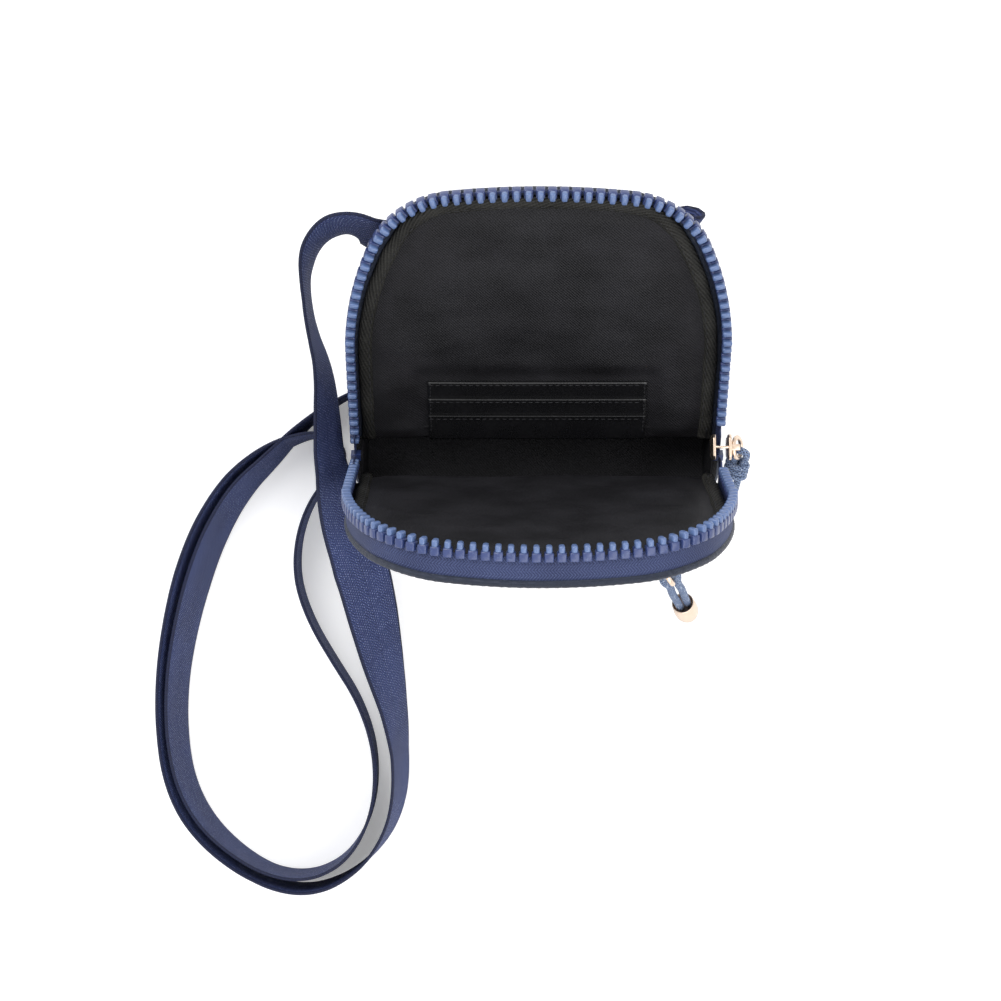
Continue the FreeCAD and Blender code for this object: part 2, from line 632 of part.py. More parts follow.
def make_pocket_slider():
    """Slider on the pocket's coil, drawn shut with the panel upright."""
    rise = HINGE_HEIGHT + POCKET_ZIP_RISE
    tape_in = HALF_DEPTH - NYLON - PIECE_GAP - POCKET_TAPE
    half = POCKET_SLIDER_HALF
    outline = POCKET_SLIDER_EDGE + [(x, -z) for x, z in reversed(POCKET_SLIDER_EDGE)]

    def plate(y0, y1):
        points = [V(POCKET_SLIDER_X + x, y0, rise + z) for x, z in outline]
        return prism(points, V(0, y1 - y0, 0))

    top_in = HALF_DEPTH + POCKET_SLIDER_GAP
    top_out = top_in + POCKET_PLATE
    back_out = tape_in - POCKET_SLIDER_GAP
    top = plate(top_in, top_out)
    back = plate(back_out - POCKET_BACK_PLATE, back_out)
    tail = POCKET_SLIDER_X + half
    post = box(tail - POCKET_POST_NEAR, tail - POCKET_POST_FAR,
               back_out - POCKET_POST_BITE, top_in + POCKET_POST_BITE,
               rise - POCKET_POST_HALF, rise + POCKET_POST_HALF)
    bail = lug(LUG_LENGTH, LUG_RISE, LUG_HALF_WIDE, LUG_BAR)
    bail.rotate(V(0, 0, 0), V(0, 1, 0), -90)
    bail.rotate(V(0, 0, 0), V(1, 0, 0), -90)
    bail.translate(V(POCKET_SLIDER_X, top_out, rise))
    body = top.fuse([back, post, bail]).removeSplitter()
    save("pocket_slider", opened(mirrored(body), "front"))
    spin = FreeCAD.Rotation(V(1, 0, 0), FRONT_LEAN)
    shut_pivot = V(POCKET_SLIDER_X, -(top_out + (LUG_RISE - LUG_BAR) / 2), rise)
    pivot = HINGE + spin.multVec(shut_pivot - HINGE)
    turn = math.radians(POCKET_RING_TURN)
    droop = math.radians(POCKET_PULL_DROOP)
    ring_way = V(math.sin(turn), -math.cos(turn), 0)
    ring_axis = V(math.cos(turn), math.sin(turn), 0)
    pull_way = ring_way * math.cos(droop) - V(0, 0, math.sin(droop))
    ring, loop, cap = ring_and_pull(pivot, spin.multVec(ring_way), spin.multVec(ring_axis),
                                    pull_way, POCKET_LOOP)
    save("pocket_ring", ring)
    save("pocket_pull_cord", loop)
    save("pocket_pull_cap", cap)


# ---- strap -----------------------------------------------------------------------------
STRAP_ROUTE = [
    # x, y, z of the middle of the webbing, and its lean in degrees from upright
    (-62, 83.5, 89, 51), (-71, 88, 90.5, 44), (-81, 87.5, 86, 25), (-89.5, 80, 79, 6),
    (-92.5, 66, 71, 0), (-91, 50, 63, 4), (-86.5, 34, 57, 12), (-85.5, 16, 52, 19),
    (-85, -4, 45.5, 25), (-80.5, -25, 37, 46), (-73, -46, 29, 64), (-68.5, -66, 23, 54),
    (-64.5, -86, 18, 40), (-60, -106, 14.5, 24), (-57.5, -125, 12.9, 14), (-57.5, -143, 12.8, 12),
    (-62, -159, 12.7, 8), (-72.5, -173, 12.7, 3), (-87, -182, 12.7, 0), (-102, -184, 12.7, 0),
    (-119, -178.5, 12.7, 0), (-136, -166, 12.7, -4), (-148, -151, 12.7, -8), (-154.5, -133, 12.7, -11),
    (-156.5, -111, 12.7, -13), (-156, -91, 12.7, -14), (-153, -71, 12.7, -16), (-148, -50, 12.7, -18),
    (-140, -29, 12.7, -18), (-128, -10, 12.7, -16), (-113, 3, 12.7, -10), (-97, 9.5, 12.7, -4),
    (-86, 9, 12.7, 0), (-80.5, 0.5, 12.7, 0), (-86.5, -8.5, 12.7, 0), (-94, -17, 12.7, 0),
    (-99.5, -30, 12.7, 0), (-101.5, -44, 12.7, 0), (-100, -57, 12.7, 0), (-94, -72, 12.7, 0),
    (-85, -87, 12.7, 0), (-76, -101, 12.7, 0), (-70, -116, 12.7, 0), (-67.5, -131, 12.7, 0),
    (-68.5, -147, 12.7, 0), (-74, -162, 12.7, 0), (-83, -172.5, 12.7, 0), (-96, -178, 12.7, 0),
    (-111, -176.5, 12.7, 0), (-126, -168, 12.7, -3), (-140, -155, 12.7, -7), (-149, -138, 12.7, -10),
    (-152.5, -118, 12.7, -12.5), (-152.5, -97, 12.7, -14), (-149.5, -76, 12.7, -16), (-144, -54, 12.7, -18),
    (-136.5, -33, 12.7, -18), (-125.5, -14, 12.7, -16), (-112, -1, 12.7, -11), (-98, 14, 12.7, -4),
    (-82, 25, 12.7, 0), (-62, 33, 12.7, 0), (-43, 41, 12.8, -3), (-27, 48, 14.2, -11),
    (-13, 55.5, 18.5, -20), (0, 62.5, 26.5, -38), (13, 68.9, 35.8, -57), (25, 74.6, 49.4, -68),
    (36, 79.4, 61, -70), (46, 83.2, 70.5, -66), (54.5, 85.1, 77.8, -63), (58.5, 84.3, 83.6, -23),
    (56, 82.3, 87.5, 49),
]


def rounded_route(points):
    """Points down the middle of the strap: straight runs joined by tangent arcs.

    Each arc's radius is ROUTE_CUT of its shorter run over the tangent of half
    the turn. Returns (place, fraction along the control points) pairs and the radii."""
    path = [(points[0], 0.0)]
    radii = []
    for k in range(1, len(points) - 1):
        before = points[k] - points[k - 1]
        after = points[k + 1] - points[k]
        cut = ROUTE_CUT * min(before.Length, after.Length)
        turn = before.getAngle(after)
        radius = cut / math.tan(turn / 2)
        radii.append(radius)
        start = points[k] - before.normalize() * cut
        end = points[k] + after.normalize() * cut
        steps = max(1, math.ceil(math.degrees(turn) / ARC_STEP))
        inward = (after - before).normalize()
        centre = points[k] + inward * (radius / math.cos(turn / 2))
        first = start - centre
        axis = before.cross(after)
        for step in range(steps + 1):
            spin = FreeCAD.Rotation(axis, math.degrees(turn) * step / steps)
            place = centre + spin.multVec(first)
            path.append((place, k + ROUTE_CUT * (2 * step / steps - 1)))
    path.append((points[-1], len(points) - 1.0))
    return path, radii


def strap_solid():
    """Webbing on its edge, twisting where it rises to its two tabs."""
    tab_y = HALF_DEPTH + PIECE_GAP + TAB_LAYERS / 2
    start = V(-TAB_OUTER, tab_y, HINGE_HEIGHT + TAB_RISE)
    spin = FreeCAD.Rotation(V(1, 0, 0), -BACK_LEAN)
    start = HINGE + spin.multVec(start - HINGE)
    end = V(-start.x, start.y, start.z)
    route = [start] + [V(x, y, z) for x, y, z, _ in STRAP_ROUTE] + [end]
    leans = [BACK_LEAN] + [lean for _, _, _, lean in STRAP_ROUTE] + [BACK_LEAN]
    path, radii = rounded_route(route)
    up = V(0, 0, 1)
    sections = []
    length = 0.0
    for k, (place, share) in enumerate(path):
        back = path[max(k - 1, 0)][0]
        ahead = path[min(k + 1, len(path) - 1)][0]
        way = V(-1, 0, 0) if k in (0, len(path) - 1) else (ahead - back).normalize()
        side = way.cross(up).normalize()
        rise = side.cross(way).normalize()
        low = min(int(share), len(leans) - 2)
        lean = math.radians(leans[low] + (leans[low + 1] - leans[low]) * (share - low))
        wide = (rise * math.cos(lean) + side * math.sin(lean)) * (STRAP_WIDTH / 2)
        thick = wide.cross(way).normalize() * (STRAP_THICK / 2)
        corners = [place + wide + thick, place + wide - thick,
                   place - wide - thick, place - wide + thick]
        sections.append(Part.makePolygon(corners + corners[:1]))
        if k:
            length += (place - path[k - 1][0]).Length
    solid = Part.makeLoft(sections, True, True)
    section = STRAP_WIDTH * STRAP_THICK
    print("strap length", round(length, 1), "volume share", round(solid.Volume / section / length, 4))
    print("strap radii", [round(r, 1) for r in radii])
    print("strap low", round(solid.BoundBox.ZMin, 2))
    return solid


def make_strap():
    """The webbing and its two sewn tabs."""
    low = HINGE_HEIGHT + TAB_RISE - STRAP_WIDTH / 2
    face = HALF_DEPTH + PIECE_GAP
    for side, name in ((-1, "left"), (1, "right")):
        x0, x1 = sorted((side * TAB_INNER, side * TAB_OUTER))
        tab = box(x0, x1, face, face + TAB_LAYERS, low, low + STRAP_WIDTH)
        save("strap_tab_" + name, opened(tab, "back"))
    save("strap_webbing", strap_solid())


def main():
    os.makedirs("parts", exist_ok=True)
    make_tub()
    back_lining = make_half("back", BACK_FOAM, 0)
    make_half("front", FRONT_FOAM, 2 * POCKET_SHEET + POCKET_HOLLOW + PIECE_GAP)
    make_card_pocket(back_lining)
    make_front_pocket()
    make_main_slider()
    make_pocket_slider()
    make_strap()


main()
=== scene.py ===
import logging
import math
from dataclasses import dataclass
from enum import Enum
from functools import cached_property
from typing import Callable, List, Optional, Sequence, Tuple, Union

import bmesh
import bpy
from mathutils import Matrix, Vector, noise


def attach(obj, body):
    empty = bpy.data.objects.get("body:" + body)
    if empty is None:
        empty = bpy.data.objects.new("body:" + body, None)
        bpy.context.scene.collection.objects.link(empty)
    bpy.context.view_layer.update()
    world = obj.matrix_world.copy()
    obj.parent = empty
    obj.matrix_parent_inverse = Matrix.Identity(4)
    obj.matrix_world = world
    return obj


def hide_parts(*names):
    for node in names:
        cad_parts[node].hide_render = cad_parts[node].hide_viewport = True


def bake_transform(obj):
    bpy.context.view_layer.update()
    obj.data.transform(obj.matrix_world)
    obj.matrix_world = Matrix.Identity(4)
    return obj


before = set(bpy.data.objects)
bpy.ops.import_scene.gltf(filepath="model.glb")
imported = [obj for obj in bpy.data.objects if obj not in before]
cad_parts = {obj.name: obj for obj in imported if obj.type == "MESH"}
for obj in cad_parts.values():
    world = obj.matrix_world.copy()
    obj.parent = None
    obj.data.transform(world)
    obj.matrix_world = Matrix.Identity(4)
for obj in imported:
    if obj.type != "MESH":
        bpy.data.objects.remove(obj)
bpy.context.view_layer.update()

LOG = logging.getLogger("pouch")
MM = 0.001
Rgb = Tuple[float, float, float]
Row = List[Vector]
Grid = List[Row]
Pair = Tuple[float, float]
Depth = Callable[[float, float, float], float]


# ---- shader graphs ---------------------------------------------------------------
class Expr:
    """A shader value that takes part in arithmetic."""

    def __init__(self, graph: "Graph", socket: bpy.types.NodeSocket) -> None:
        """Wrap a socket.

        Args:
            graph: graph that owns the socket.
            socket: output socket with a number.
        """
        self.graph = graph
        self.socket = socket

    def math(self, operation: str, *others: "Value") -> "Expr":
        """Put this value through a Math node.

        Args:
            operation: name of the node's operation.
            others: second and third operand.

        Returns:
            The node's result.
        """
        return self.graph.math(operation, self, *others)

    def __add__(self, other: "Value") -> "Expr":
        """Sum of two values."""
        return self.math("ADD", other)

    def __sub__(self, other: "Value") -> "Expr":
        """Difference of two values."""
        return self.math("SUBTRACT", other)

    def __mul__(self, other: "Value") -> "Expr":
        """Product of two values."""
        return self.math("MULTIPLY", other)

    def __truediv__(self, other: "Value") -> "Expr":
        """Quotient of two values."""
        return self.math("DIVIDE", other)

    def __rsub__(self, other: float) -> "Expr":
        """Difference with this value on the right."""
        return self.graph.math("SUBTRACT", other, self)

    __radd__ = __add__
    __rmul__ = __mul__

    def wave(self) -> "Expr":
        """Sine wave of this value in turns, from 0 to 1."""
        return (self * math.tau).math("SINE") * 0.5 + 0.5

    def triangle(self) -> "Expr":
        """Zigzag of this value in turns, from 0 to 1."""
        return ((self.math("FRACT") - 0.5).math("ABSOLUTE")) * 2.0

    def step(self, low: float, high: float) -> "Expr":
        """Smooth step of this value between two limits, from 0 to 1."""
        node = self.graph.add("ShaderNodeMapRange", interpolation_type="SMOOTHSTEP",
                              Value=self, From_Min=low, From_Max=high)
        return Expr(self.graph, node.outputs["Result"])


Value = Union[Expr, float]


class Space(Enum):
    """Coordinates that a texture can be laid out in."""

    OBJECT = "Object"
    CLOTH = "UV"


class Graph:
    """Node graph of one material, with a Principled shader at its end."""

    def __init__(self, name: str) -> None:
        """Start an empty material.

        Args:
            name: material name.
        """
        self.material = bpy.data.materials.new(name)
        self.material.use_nodes = True
        self.tree = self.material.node_tree
        self.tree.nodes.clear()
        self.shader = self.add("ShaderNodeBsdfPrincipled")
        output = self.add("ShaderNodeOutputMaterial")
        self.tree.links.new(self.shader.outputs[0], output.inputs["Surface"])

    def add(self, kind: str, **settings: object) -> bpy.types.Node:
        """Add a node and set its properties and inputs.

        Args:
            kind: node type.
            settings: lower-case names are properties; others are inputs, with _
                for a space. An input takes a number, a colour, a socket or an Expr.

        Returns:
            The new node.
        """
        node = self.tree.nodes.new(kind)
        inputs = {k: v for k, v in settings.items() if k[0].isupper()}
        for key, value in settings.items():
            if key not in inputs:
                setattr(node, key, value)
        for key, value in inputs.items():
            self.feed(self.socket_of(node, key), value)
        return node

    @staticmethod
    def socket_of(node: bpy.types.Node, key: str) -> bpy.types.NodeSocket:
        """Find an enabled input by name, or by number as In0, In1 and so on.

        Args:
            node: node that has the input.
            key: name of the input.

        Returns:
            The socket.
        """
        if key.startswith("In") and key[2:].isdigit():
            return node.inputs[int(key[2:])]
        name = key.replace("_", " ")
        return next(s for s in node.inputs if s.name == name and s.enabled)

    def feed(self, socket: bpy.types.NodeSocket, value: object) -> None:
        """Link or set one input.

        Args:
            socket: input to feed.
            value: Expr, socket, number or colour.
        """
        if isinstance(value, Expr):
            value = value.socket
        if isinstance(value, bpy.types.NodeSocket):
            self.tree.links.new(value, socket)
        elif isinstance(value, tuple) and socket.type == "RGBA":
            socket.default_value = (*value, 1.0)
        else:
            socket.default_value = value

    def math(self, operation: str, *values: Value) -> Expr:
        """Add a Math node.

        Args:
            operation: name of its operation.
            values: its operands.

        Returns:
            Its result.
        """
        node = self.add("ShaderNodeMath", operation=operation)
        for socket, value in zip(node.inputs, values):
            self.feed(socket, value)
        return Expr(self, node.outputs[0])

    def axes(self, space: Space) -> Tuple[Expr, Expr, Expr]:
        """Coordinates in millimetres.

        Args:
            space: coordinates to use.

        Returns:
            The three coordinates.
        """
        source = self.add("ShaderNodeTexCoord").outputs[space.value]
        split = self.add("ShaderNodeSeparateXYZ", Vector=source)
        x, y, z = (Expr(self, out) / MM for out in split.outputs)
        return x, y, z

    def grain(self, space: Space, scale: float, detail: float = 2.0) -> Expr:
        """Cloudy noise.

        Args:
            space: coordinates to use.
            scale: size of its features in millimetres.
            detail: number of finer layers.

        Returns:
            Values near 0.5.
        """
        source = self.add("ShaderNodeTexCoord").outputs[space.value]
        node = self.add("ShaderNodeTexNoise", Vector=source, Scale=1 / (scale * MM), Detail=detail)
        return Expr(self, node.outputs[0])

    def mix(self, share: Value, first: object, second: object) -> bpy.types.NodeSocket:
        """Blend two colours.

        Args:
            share: 0 for the first, 1 for the second.
            first: colour or socket.
            second: colour or socket.

        Returns:
            The blended colour.
        """
        node = self.add("ShaderNodeMix", data_type="RGBA", Factor=share, A=first, B=second)
        return next(out for out in node.outputs if out.enabled)

    def finish(self, colour: object, roughness: Value, relief: Expr, depth: float,
               **settings: object) -> bpy.types.Material:
        """Connect the shader.

        Args:
            colour: base colour.
            roughness: surface roughness.
            relief: height from 0 to 1.
            depth: height of the relief in millimetres.
            settings: other inputs of the shader.

        Returns:
            The material.
        """
        bump = self.add("ShaderNodeBump", Height=relief, Distance=depth * MM)
        values = dict(settings, Base_Color=colour, Roughness=roughness, Normal=bump.outputs[0])
        for key, value in values.items():
            self.feed(self.socket_of(self.shader, key), value)
        return self.material


# ---- finishes --------------------------------------------------------------------
@dataclass(frozen=True)
class PlainCloth:
    """Plain-woven cloth, such as the satin nylon outside or the black lining.

    Attributes:
        name: material name.
        dark: colour of the low threads.
        light: colour of the raised threads.
        pitch: thread spacing in millimetres.
        twill: share of a thread that each row steps sideways, 0 for a plain weave.
        roughness: roughness of the raised threads.
        depth: height of the weave in millimetres.
        space: coordinates of the weave.
        sheen: weight of the fuzzy sheen.
        specular: level of the mirror-like share.
    """

    name: str
    dark: Rgb
    light: Rgb
    pitch: float = 0.6
    twill: float = 0.0
    roughness: float = 0.5
    depth: float = 0.08
    space: Space = Space.CLOTH
    sheen: float = 0.0
    specular: float = 0.3

    def build(self) -> bpy.types.Material:
        """Make the material.

        Returns:
            The material.
        """
        g = Graph(self.name)
        u, v, w = g.axes(self.space)
        across = (u + w * 0.7) / self.pitch
        along = v / self.pitch
        weave = ((across + along * self.twill).wave() * 0.75
                 + (along - across * self.twill).wave() * 0.25)
        cloud = g.grain(self.space, 22.0)
        fleck = g.grain(self.space, 0.7, 1.0)
        share = weave * 0.45 + cloud.step(0.3, 0.7) * 0.3 + fleck.step(0.35, 0.75) * 0.25
        colour = g.mix(share, self.dark, self.light)
        rough = cloud * 0.16 + fleck * 0.1 + (self.roughness - 0.12)
        relief = weave * 0.7 + fleck * 0.3
        return g.finish(colour, rough, relief, self.depth, Sheen_Weight=self.sheen,
                        Specular_IOR_Level=self.specular)


@dataclass(frozen=True)
class Herringbone:
    """Cloth with chevrons, such as a zip tape or a strap.

    Attributes:
        name: material name.
        dark: colour between the ribs.
        light: colour of the ribs.
        fleck: colour of the bright specks.
        column: width of one chevron column in millimetres.
        rib: spacing of the ribs in millimetres.
        slope: ribs that one column climbs.
        width: width of the webbing, for its selvedge and centre line; 0 for none.
        edge: colour of the selvedge.
        flecks: share of bright specks.
        depth: height of the ribs in millimetres.
    """

    name: str
    dark: Rgb
    light: Rgb
    fleck: Rgb
    column: float = 3.0
    rib: float = 1.3
    slope: float = 1.2
    width: float = 0.0
    edge: Rgb = (0.02, 0.02, 0.03)
    flecks: float = 0.5
    depth: float = 0.2

    def build(self) -> bpy.types.Material:
        """Make the material.

        Returns:
            The material.
        """
        g = Graph(self.name)
        u, v, _ = g.axes(Space.CLOTH)
        zigzag = (u / (2 * self.column)).triangle() * self.slope
        ribs = (v / self.rib + zigzag).wave()
        threads = (u / 0.55).wave()
        cloud = g.grain(Space.CLOTH, 30.0)
        speck = g.grain(Space.CLOTH, 0.55, 1.0)
        share = ribs * 0.6 + threads * 0.15 + cloud.step(0.3, 0.7) * 0.25
        colour = g.mix(share, self.dark, self.light)
        dots = (u / 1.05).wave() * ((v + u * 0.5) / 1.15).wave()
        bright = dots.step(0.62, 0.86) * speck.step(0.40, 0.60) * self.flecks
        colour = g.mix(bright, colour, self.fleck)
        relief = ribs * 0.7 + threads * 0.15 + speck * 0.15
        if self.width:
            side = (u - self.width / 2).math("ABSOLUTE") / (self.width / 2)
            border = side.step(0.90, 0.94)
            centre = 1.0 - side.step(0.0, 0.05)
            dashes = (v / 0.9).wave()
            colour = g.mix(border * 0.85, colour, g.mix(dashes, self.edge, self.dark))
            colour = g.mix(centre * 0.2, colour, self.dark)
            relief = relief * (1.0 - border * 0.5) - centre * 0.1
        return g.finish(colour, cloud * 0.15 + 0.62, relief, self.depth, Specular_IOR_Level=0.3)


@dataclass(frozen=True)
class Moulded:
    """Moulded plastic or leatherette, with a grain, a coat and rubbed high spots.

    Attributes:
        name: material name.
        base: colour.
        worn: colour of the rubbed spots.
        grain_size: size of the surface grain in millimetres.
        roughness: base roughness.
        coat: weight of the glossy coat.
        depth: height of the grain in millimetres.
        metallic: 1 for metal, 0 for plastic.
        tip: colour painted on the forms marked for it, a painted highlight, or None.
    """

    name: str
    base: Rgb
    worn: Rgb
    grain_size: float = 0.8
    roughness: float = 0.35
    coat: float = 0.2
    depth: float = 0.03
    metallic: float = 0.0
    tip: Optional[Rgb] = None

    def build(self) -> bpy.types.Material:
        """Make the material.

        Returns:
            The material.
        """
        g = Graph(self.name)
        fine = g.grain(Space.OBJECT, self.grain_size, 3.0)
        cloud = g.grain(Space.OBJECT, 9.0)
        wear = fine.step(0.5, 0.7) * cloud.step(0.45, 0.65)
        base: object = self.base
        # Painted light: forms marked through their cloth coordinate take the tip colour, a painted
        # highlight, over the base.
        if self.tip:
            painted_light_share, _, _ = g.axes(Space.CLOTH)
            base = g.mix(painted_light_share, self.base, self.tip)
        colour = g.mix(wear * 0.5, base, self.worn)
        rough = cloud * 0.14 + fine * 0.1 + (self.roughness - 0.1)
        return g.finish(colour, rough, fine, self.depth, Metallic=self.metallic,
                        Coat_Weight=self.coat, Coat_Roughness=0.15)


@dataclass(frozen=True)
class Braid:
    """Round braid: two sets of strands that cross in diamonds.

    Attributes:
        name: material name.
        dark: colour in the hollows.
        light: colour on the strands.
        fleck: colour of the odd lighter yarn.
        carriers: strands each way round the cord.
        lay: length of one diamond in millimetres.
    """

    name: str
    dark: Rgb
    light: Rgb
    fleck: Rgb
    carriers: float = 6.0
    lay: float = 1.5

    def build(self) -> bpy.types.Material:
        """Make the material.

        Returns:
            The material.
        """
        g = Graph(self.name)
        u, v, _ = g.axes(Space.CLOTH)
        round_share = u * MM * self.carriers
        left = (round_share + v / self.lay).wave()
        right = (round_share - v / self.lay).wave()
        over = left.math("MAXIMUM", right)
        yarn = (round_share * 3.0 + v / self.lay * 3.0).wave()
        speck = g.grain(Space.OBJECT, 0.8, 1.0)
        colour = g.mix(over.step(0.25, 0.95), self.dark, self.light)
        colour = g.mix(speck.step(0.55, 0.68) * 0.6, colour, self.fleck)
        relief = over * 0.8 + yarn * 0.2
        return g.finish(colour, speck * 0.2 + 0.6, relief, 0.25, Sheen_Weight=0.1)


class Finish(Enum):
    """The bag's finishes, with the material slot that each one belongs to."""

    NYLON = ("navy_nylon", PlainCloth("satin_nylon", (0.014, 0.018, 0.031), (0.044, 0.054, 0.086),
                                      0.55, 0.0, 0.42, 0.06, Space.CLOTH, 0.05, 0.45))
    PIPING = ("navy_nylon", PlainCloth("nylon_piping", (0.013, 0.017, 0.030),
                                       (0.044, 0.054, 0.086), 0.8, 0.5, 0.45, 0.10))
    LINING = ("black_lining", PlainCloth("twill_lining", (0.0010, 0.0010, 0.0014),
                                         (0.028, 0.0275, 0.032), 1.25, 1.0, 0.56, 0.22,
                                         specular=0.22))
    BINDING = ("black_binding", PlainCloth("grosgrain_binding", (0.0015, 0.0015, 0.0015),
                                           (0.050, 0.049, 0.044), 1.25, 0.35, 0.62, 0.30,
                                           specular=0.25))
    TAPE = ("zip_tape", Herringbone("zip_tape_weave", (0.010, 0.015, 0.050), (0.052, 0.070, 0.165),
                                    (0.14, 0.18, 0.32), 2.0, 1.15, 1.6, 0.0, flecks=0.3,
                                    depth=0.2))
    WEBBING = ("webbing", Herringbone("strap_weave", (0.0045, 0.007, 0.032), (0.042, 0.062, 0.180),
                                      (0.36, 0.42, 0.70), 4.2, 1.5, 3.0, 25.0,
                                      (0.003, 0.004, 0.010), 0.75, 0.26))
    # Zip teeth: the darker base is painted shade on the tooth bodies within the rows, and the
    # lighter tip is a painted highlight on the heads.
    TEETH = ("zip_plastic", Moulded("moulded_teeth", (0.030, 0.048, 0.150), (0.10, 0.14, 0.26),
                                    0.7, 0.34, 0.2, 0.03, tip=(0.095, 0.150, 0.310)))
    LEATHERETTE = ("leatherette", Moulded("black_leatherette", (0.006, 0.006, 0.007),
                                          (0.020, 0.020, 0.022), 0.5, 0.26, 0.35, 0.05))
    GOLD = ("pale_gold", Moulded("pale_gold_plate", (0.72, 0.57, 0.45), (0.84, 0.73, 0.62),
                                 1.6, 0.27, 0.1, 0.012, 1.0))
    BRAID = ("braided_cord", Braid("denim_braid", (0.018, 0.028, 0.070), (0.130, 0.190, 0.330),
                                   (0.50, 0.57, 0.68)))
    THREAD = ("black_lining", PlainCloth("sewing_thread", (0.010, 0.010, 0.012),
                                         (0.05, 0.05, 0.055), 0.3, 1.0, 0.5, 0.04, Space.OBJECT))
    NAVY_THREAD = ("webbing", PlainCloth("navy_thread", (0.02, 0.03, 0.07), (0.09, 0.12, 0.22),
                                         0.3, 1.0, 0.5, 0.04, Space.OBJECT))
    FOAM = ("padding", PlainCloth("soft_foam", (0.006, 0.006, 0.007), (0.018, 0.018, 0.020),
                                  1.5, 0.0, 0.8, 0.2, Space.OBJECT))
    BOARD = ("stiffener", Moulded("plain_board", (0.05, 0.05, 0.05), (0.09, 0.09, 0.09),
                                  1.2, 0.7, 0.0, 0.05))

    @property
    def slot(self) -> str:
        """Material slot of the record."""
        return self.value[0]

    @property
    def material(self) -> bpy.types.Material:
        """The material, made the first time it is used."""
        made = bpy.data.materials.get(self.value[1].name)
        return made or self.value[1].build()


# ---- mesh building ---------------------------------------------------------------
class MeshMaker:
    """Collects vertices, faces and cloth coordinates of one piece."""

    def __init__(self) -> None:
        """Start an empty mesh."""
        self.mesh = bmesh.new()
        self.cloth = self.mesh.loops.layers.uv.new("Cloth")

    def grid(self, places: Grid, cloth: Grid, slot: int = 0, closed: bool = False) -> Grid:
        """Add a grid of quads.

        Args:
            places: rows of points.
            cloth: cloth coordinates of each point, in metres.
            slot: material slot of the faces.
            closed: True when each row joins up with itself.

        Returns:
            Rows of the new vertices.
        """
        rows = [[self.mesh.verts.new(p) for p in row] for row in places]
        wide = len(rows[0])
        for r in range(len(rows) - 1):
            for c in range(wide if closed else wide - 1):
                d = (c + 1) % wide
                corners = [(r, c), (r, d), (r + 1, d), (r + 1, c)]
                face = self.mesh.faces.new([rows[i][j] for i, j in corners])
                face.material_index = slot
                face.smooth = True
                for loop, (i, j) in zip(face.loops, corners):
                    column = wide if closed and d == 0 and j == 0 and c else j
                    point = cloth[i][min(column, len(cloth[i]) - 1)]
                    loop[self.cloth].uv = (point[0], point[1])
        return rows

    def shell(self, outer: Grid, inner: Grid, cloth: Grid) -> None:
        """Add a thin closed sheet between two matching grids.

        Args:
            outer: rows of points of one side.
            inner: rows of points of the other side.
            cloth: cloth coordinates, the same for both sides.
        """
        front = self.grid(outer, cloth)
        back = self.grid(inner, cloth)
        rim_a = front[0] + [row[-1] for row in front[1:]] + front[-1][-2::-1]
        rim_a += [row[0] for row in front[-2:0:-1]]
        rim_b = back[0] + [row[-1] for row in back[1:]] + back[-1][-2::-1]
        rim_b += [row[0] for row in back[-2:0:-1]]
        count = len(rim_a)
        for k in range(count):
            n = (k + 1) % count
            face = self.mesh.faces.new([rim_a[k], rim_a[n], rim_b[n], rim_b[k]])
            for loop in face.loops:
                loop[self.cloth].uv = (k * MM, 0.0)

    def tube(self, path: Sequence[Vector], radius: Callable[[float, float], float],
             sides: int = 12, capped: bool = True) -> None:
        """Add a tube along a path.

        Args:
            path: points along its middle.
            radius: radius from the length along it and the angle in turns.
            sides: points round it.
            capped: True to close its ends.
        """
        travelled = 0.0
        side = Vector((0, 0, 1))
        rows: Grid = []
        cloth: Grid = []
        for k, point in enumerate(path):
            way = (path[min(k + 1, len(path) - 1)] - path[max(k - 1, 0)]).normalized()
            side = side - way * side.dot(way)
            if side.length < 0.05:
                side = way.orthogonal()
            side.normalize()
            up = way.cross(side)
            if k:
                travelled += (point - path[k - 1]).length
            row, strip = [], []
            for s in range(sides):
                turn = s / sides
                reach = radius(travelled, turn)
                angle = math.tau * turn
                row.append(point + (side * math.cos(angle) + up * math.sin(angle)) * reach)
                strip.append(Vector((turn, travelled, 0)))
            rows.append(row)
            cloth.append(strip + [Vector((1.0, travelled, 0))])
        made = self.grid(rows, cloth, closed=True)
        if capped:
            for row in (made[0][::-1], made[-1]):
                self.mesh.faces.new(row)

    def lathe(self, profile: Sequence[Pair], base: Matrix, sides: int = 40) -> None:
        """Add a turned form.

        Args:
            profile: (radius, height) pairs from its start to its end.
            base: placement of the axis, which is the local z axis.
            sides: points round it.
        """
        rows, cloth = [], []
        angles = [math.tau * s / sides for s in range(sides)]
        for r, z in profile:
            rows.append([base @ Vector((r * math.cos(a), r * math.sin(a), z)) for a in angles])
            cloth.append([Vector((s / sides, z, 0)) for s in range(sides + 1)])
        self.grid(rows, cloth, closed=True)

    def block(self, base: Matrix, size: Vector, bevel: float, segments: int = 2,
              painted_light_share: float = 0.0) -> None:
        """Add a bevelled block.

        Args:
            base: placement of its middle.
            size: its lengths along the local axes.
            bevel: width of the bevel.
            segments: steps of the bevel.
            painted_light_share: share of the finish's tip colour, a painted highlight.
        """
        piece = bmesh.new()
        bmesh.ops.create_cube(piece, size=1.0)
        bmesh.ops.scale(piece, vec=size, verts=piece.verts)
        bmesh.ops.bevel(piece, geom=piece.edges[:], offset=bevel, segments=segments, profile=0.5,
                        affect="EDGES")
        self.take(piece, base, painted_light_share)

    def ball(self, base: Matrix, size: Vector) -> None:
        """Add a rounded bead.

        Args:
            base: placement of its middle.
            size: its diameters along the local axes.
        """
        piece = bmesh.new()
        bmesh.ops.create_icosphere(piece, subdivisions=2, radius=0.5)
        bmesh.ops.scale(piece, vec=size, verts=piece.verts)
        self.take(piece, base)

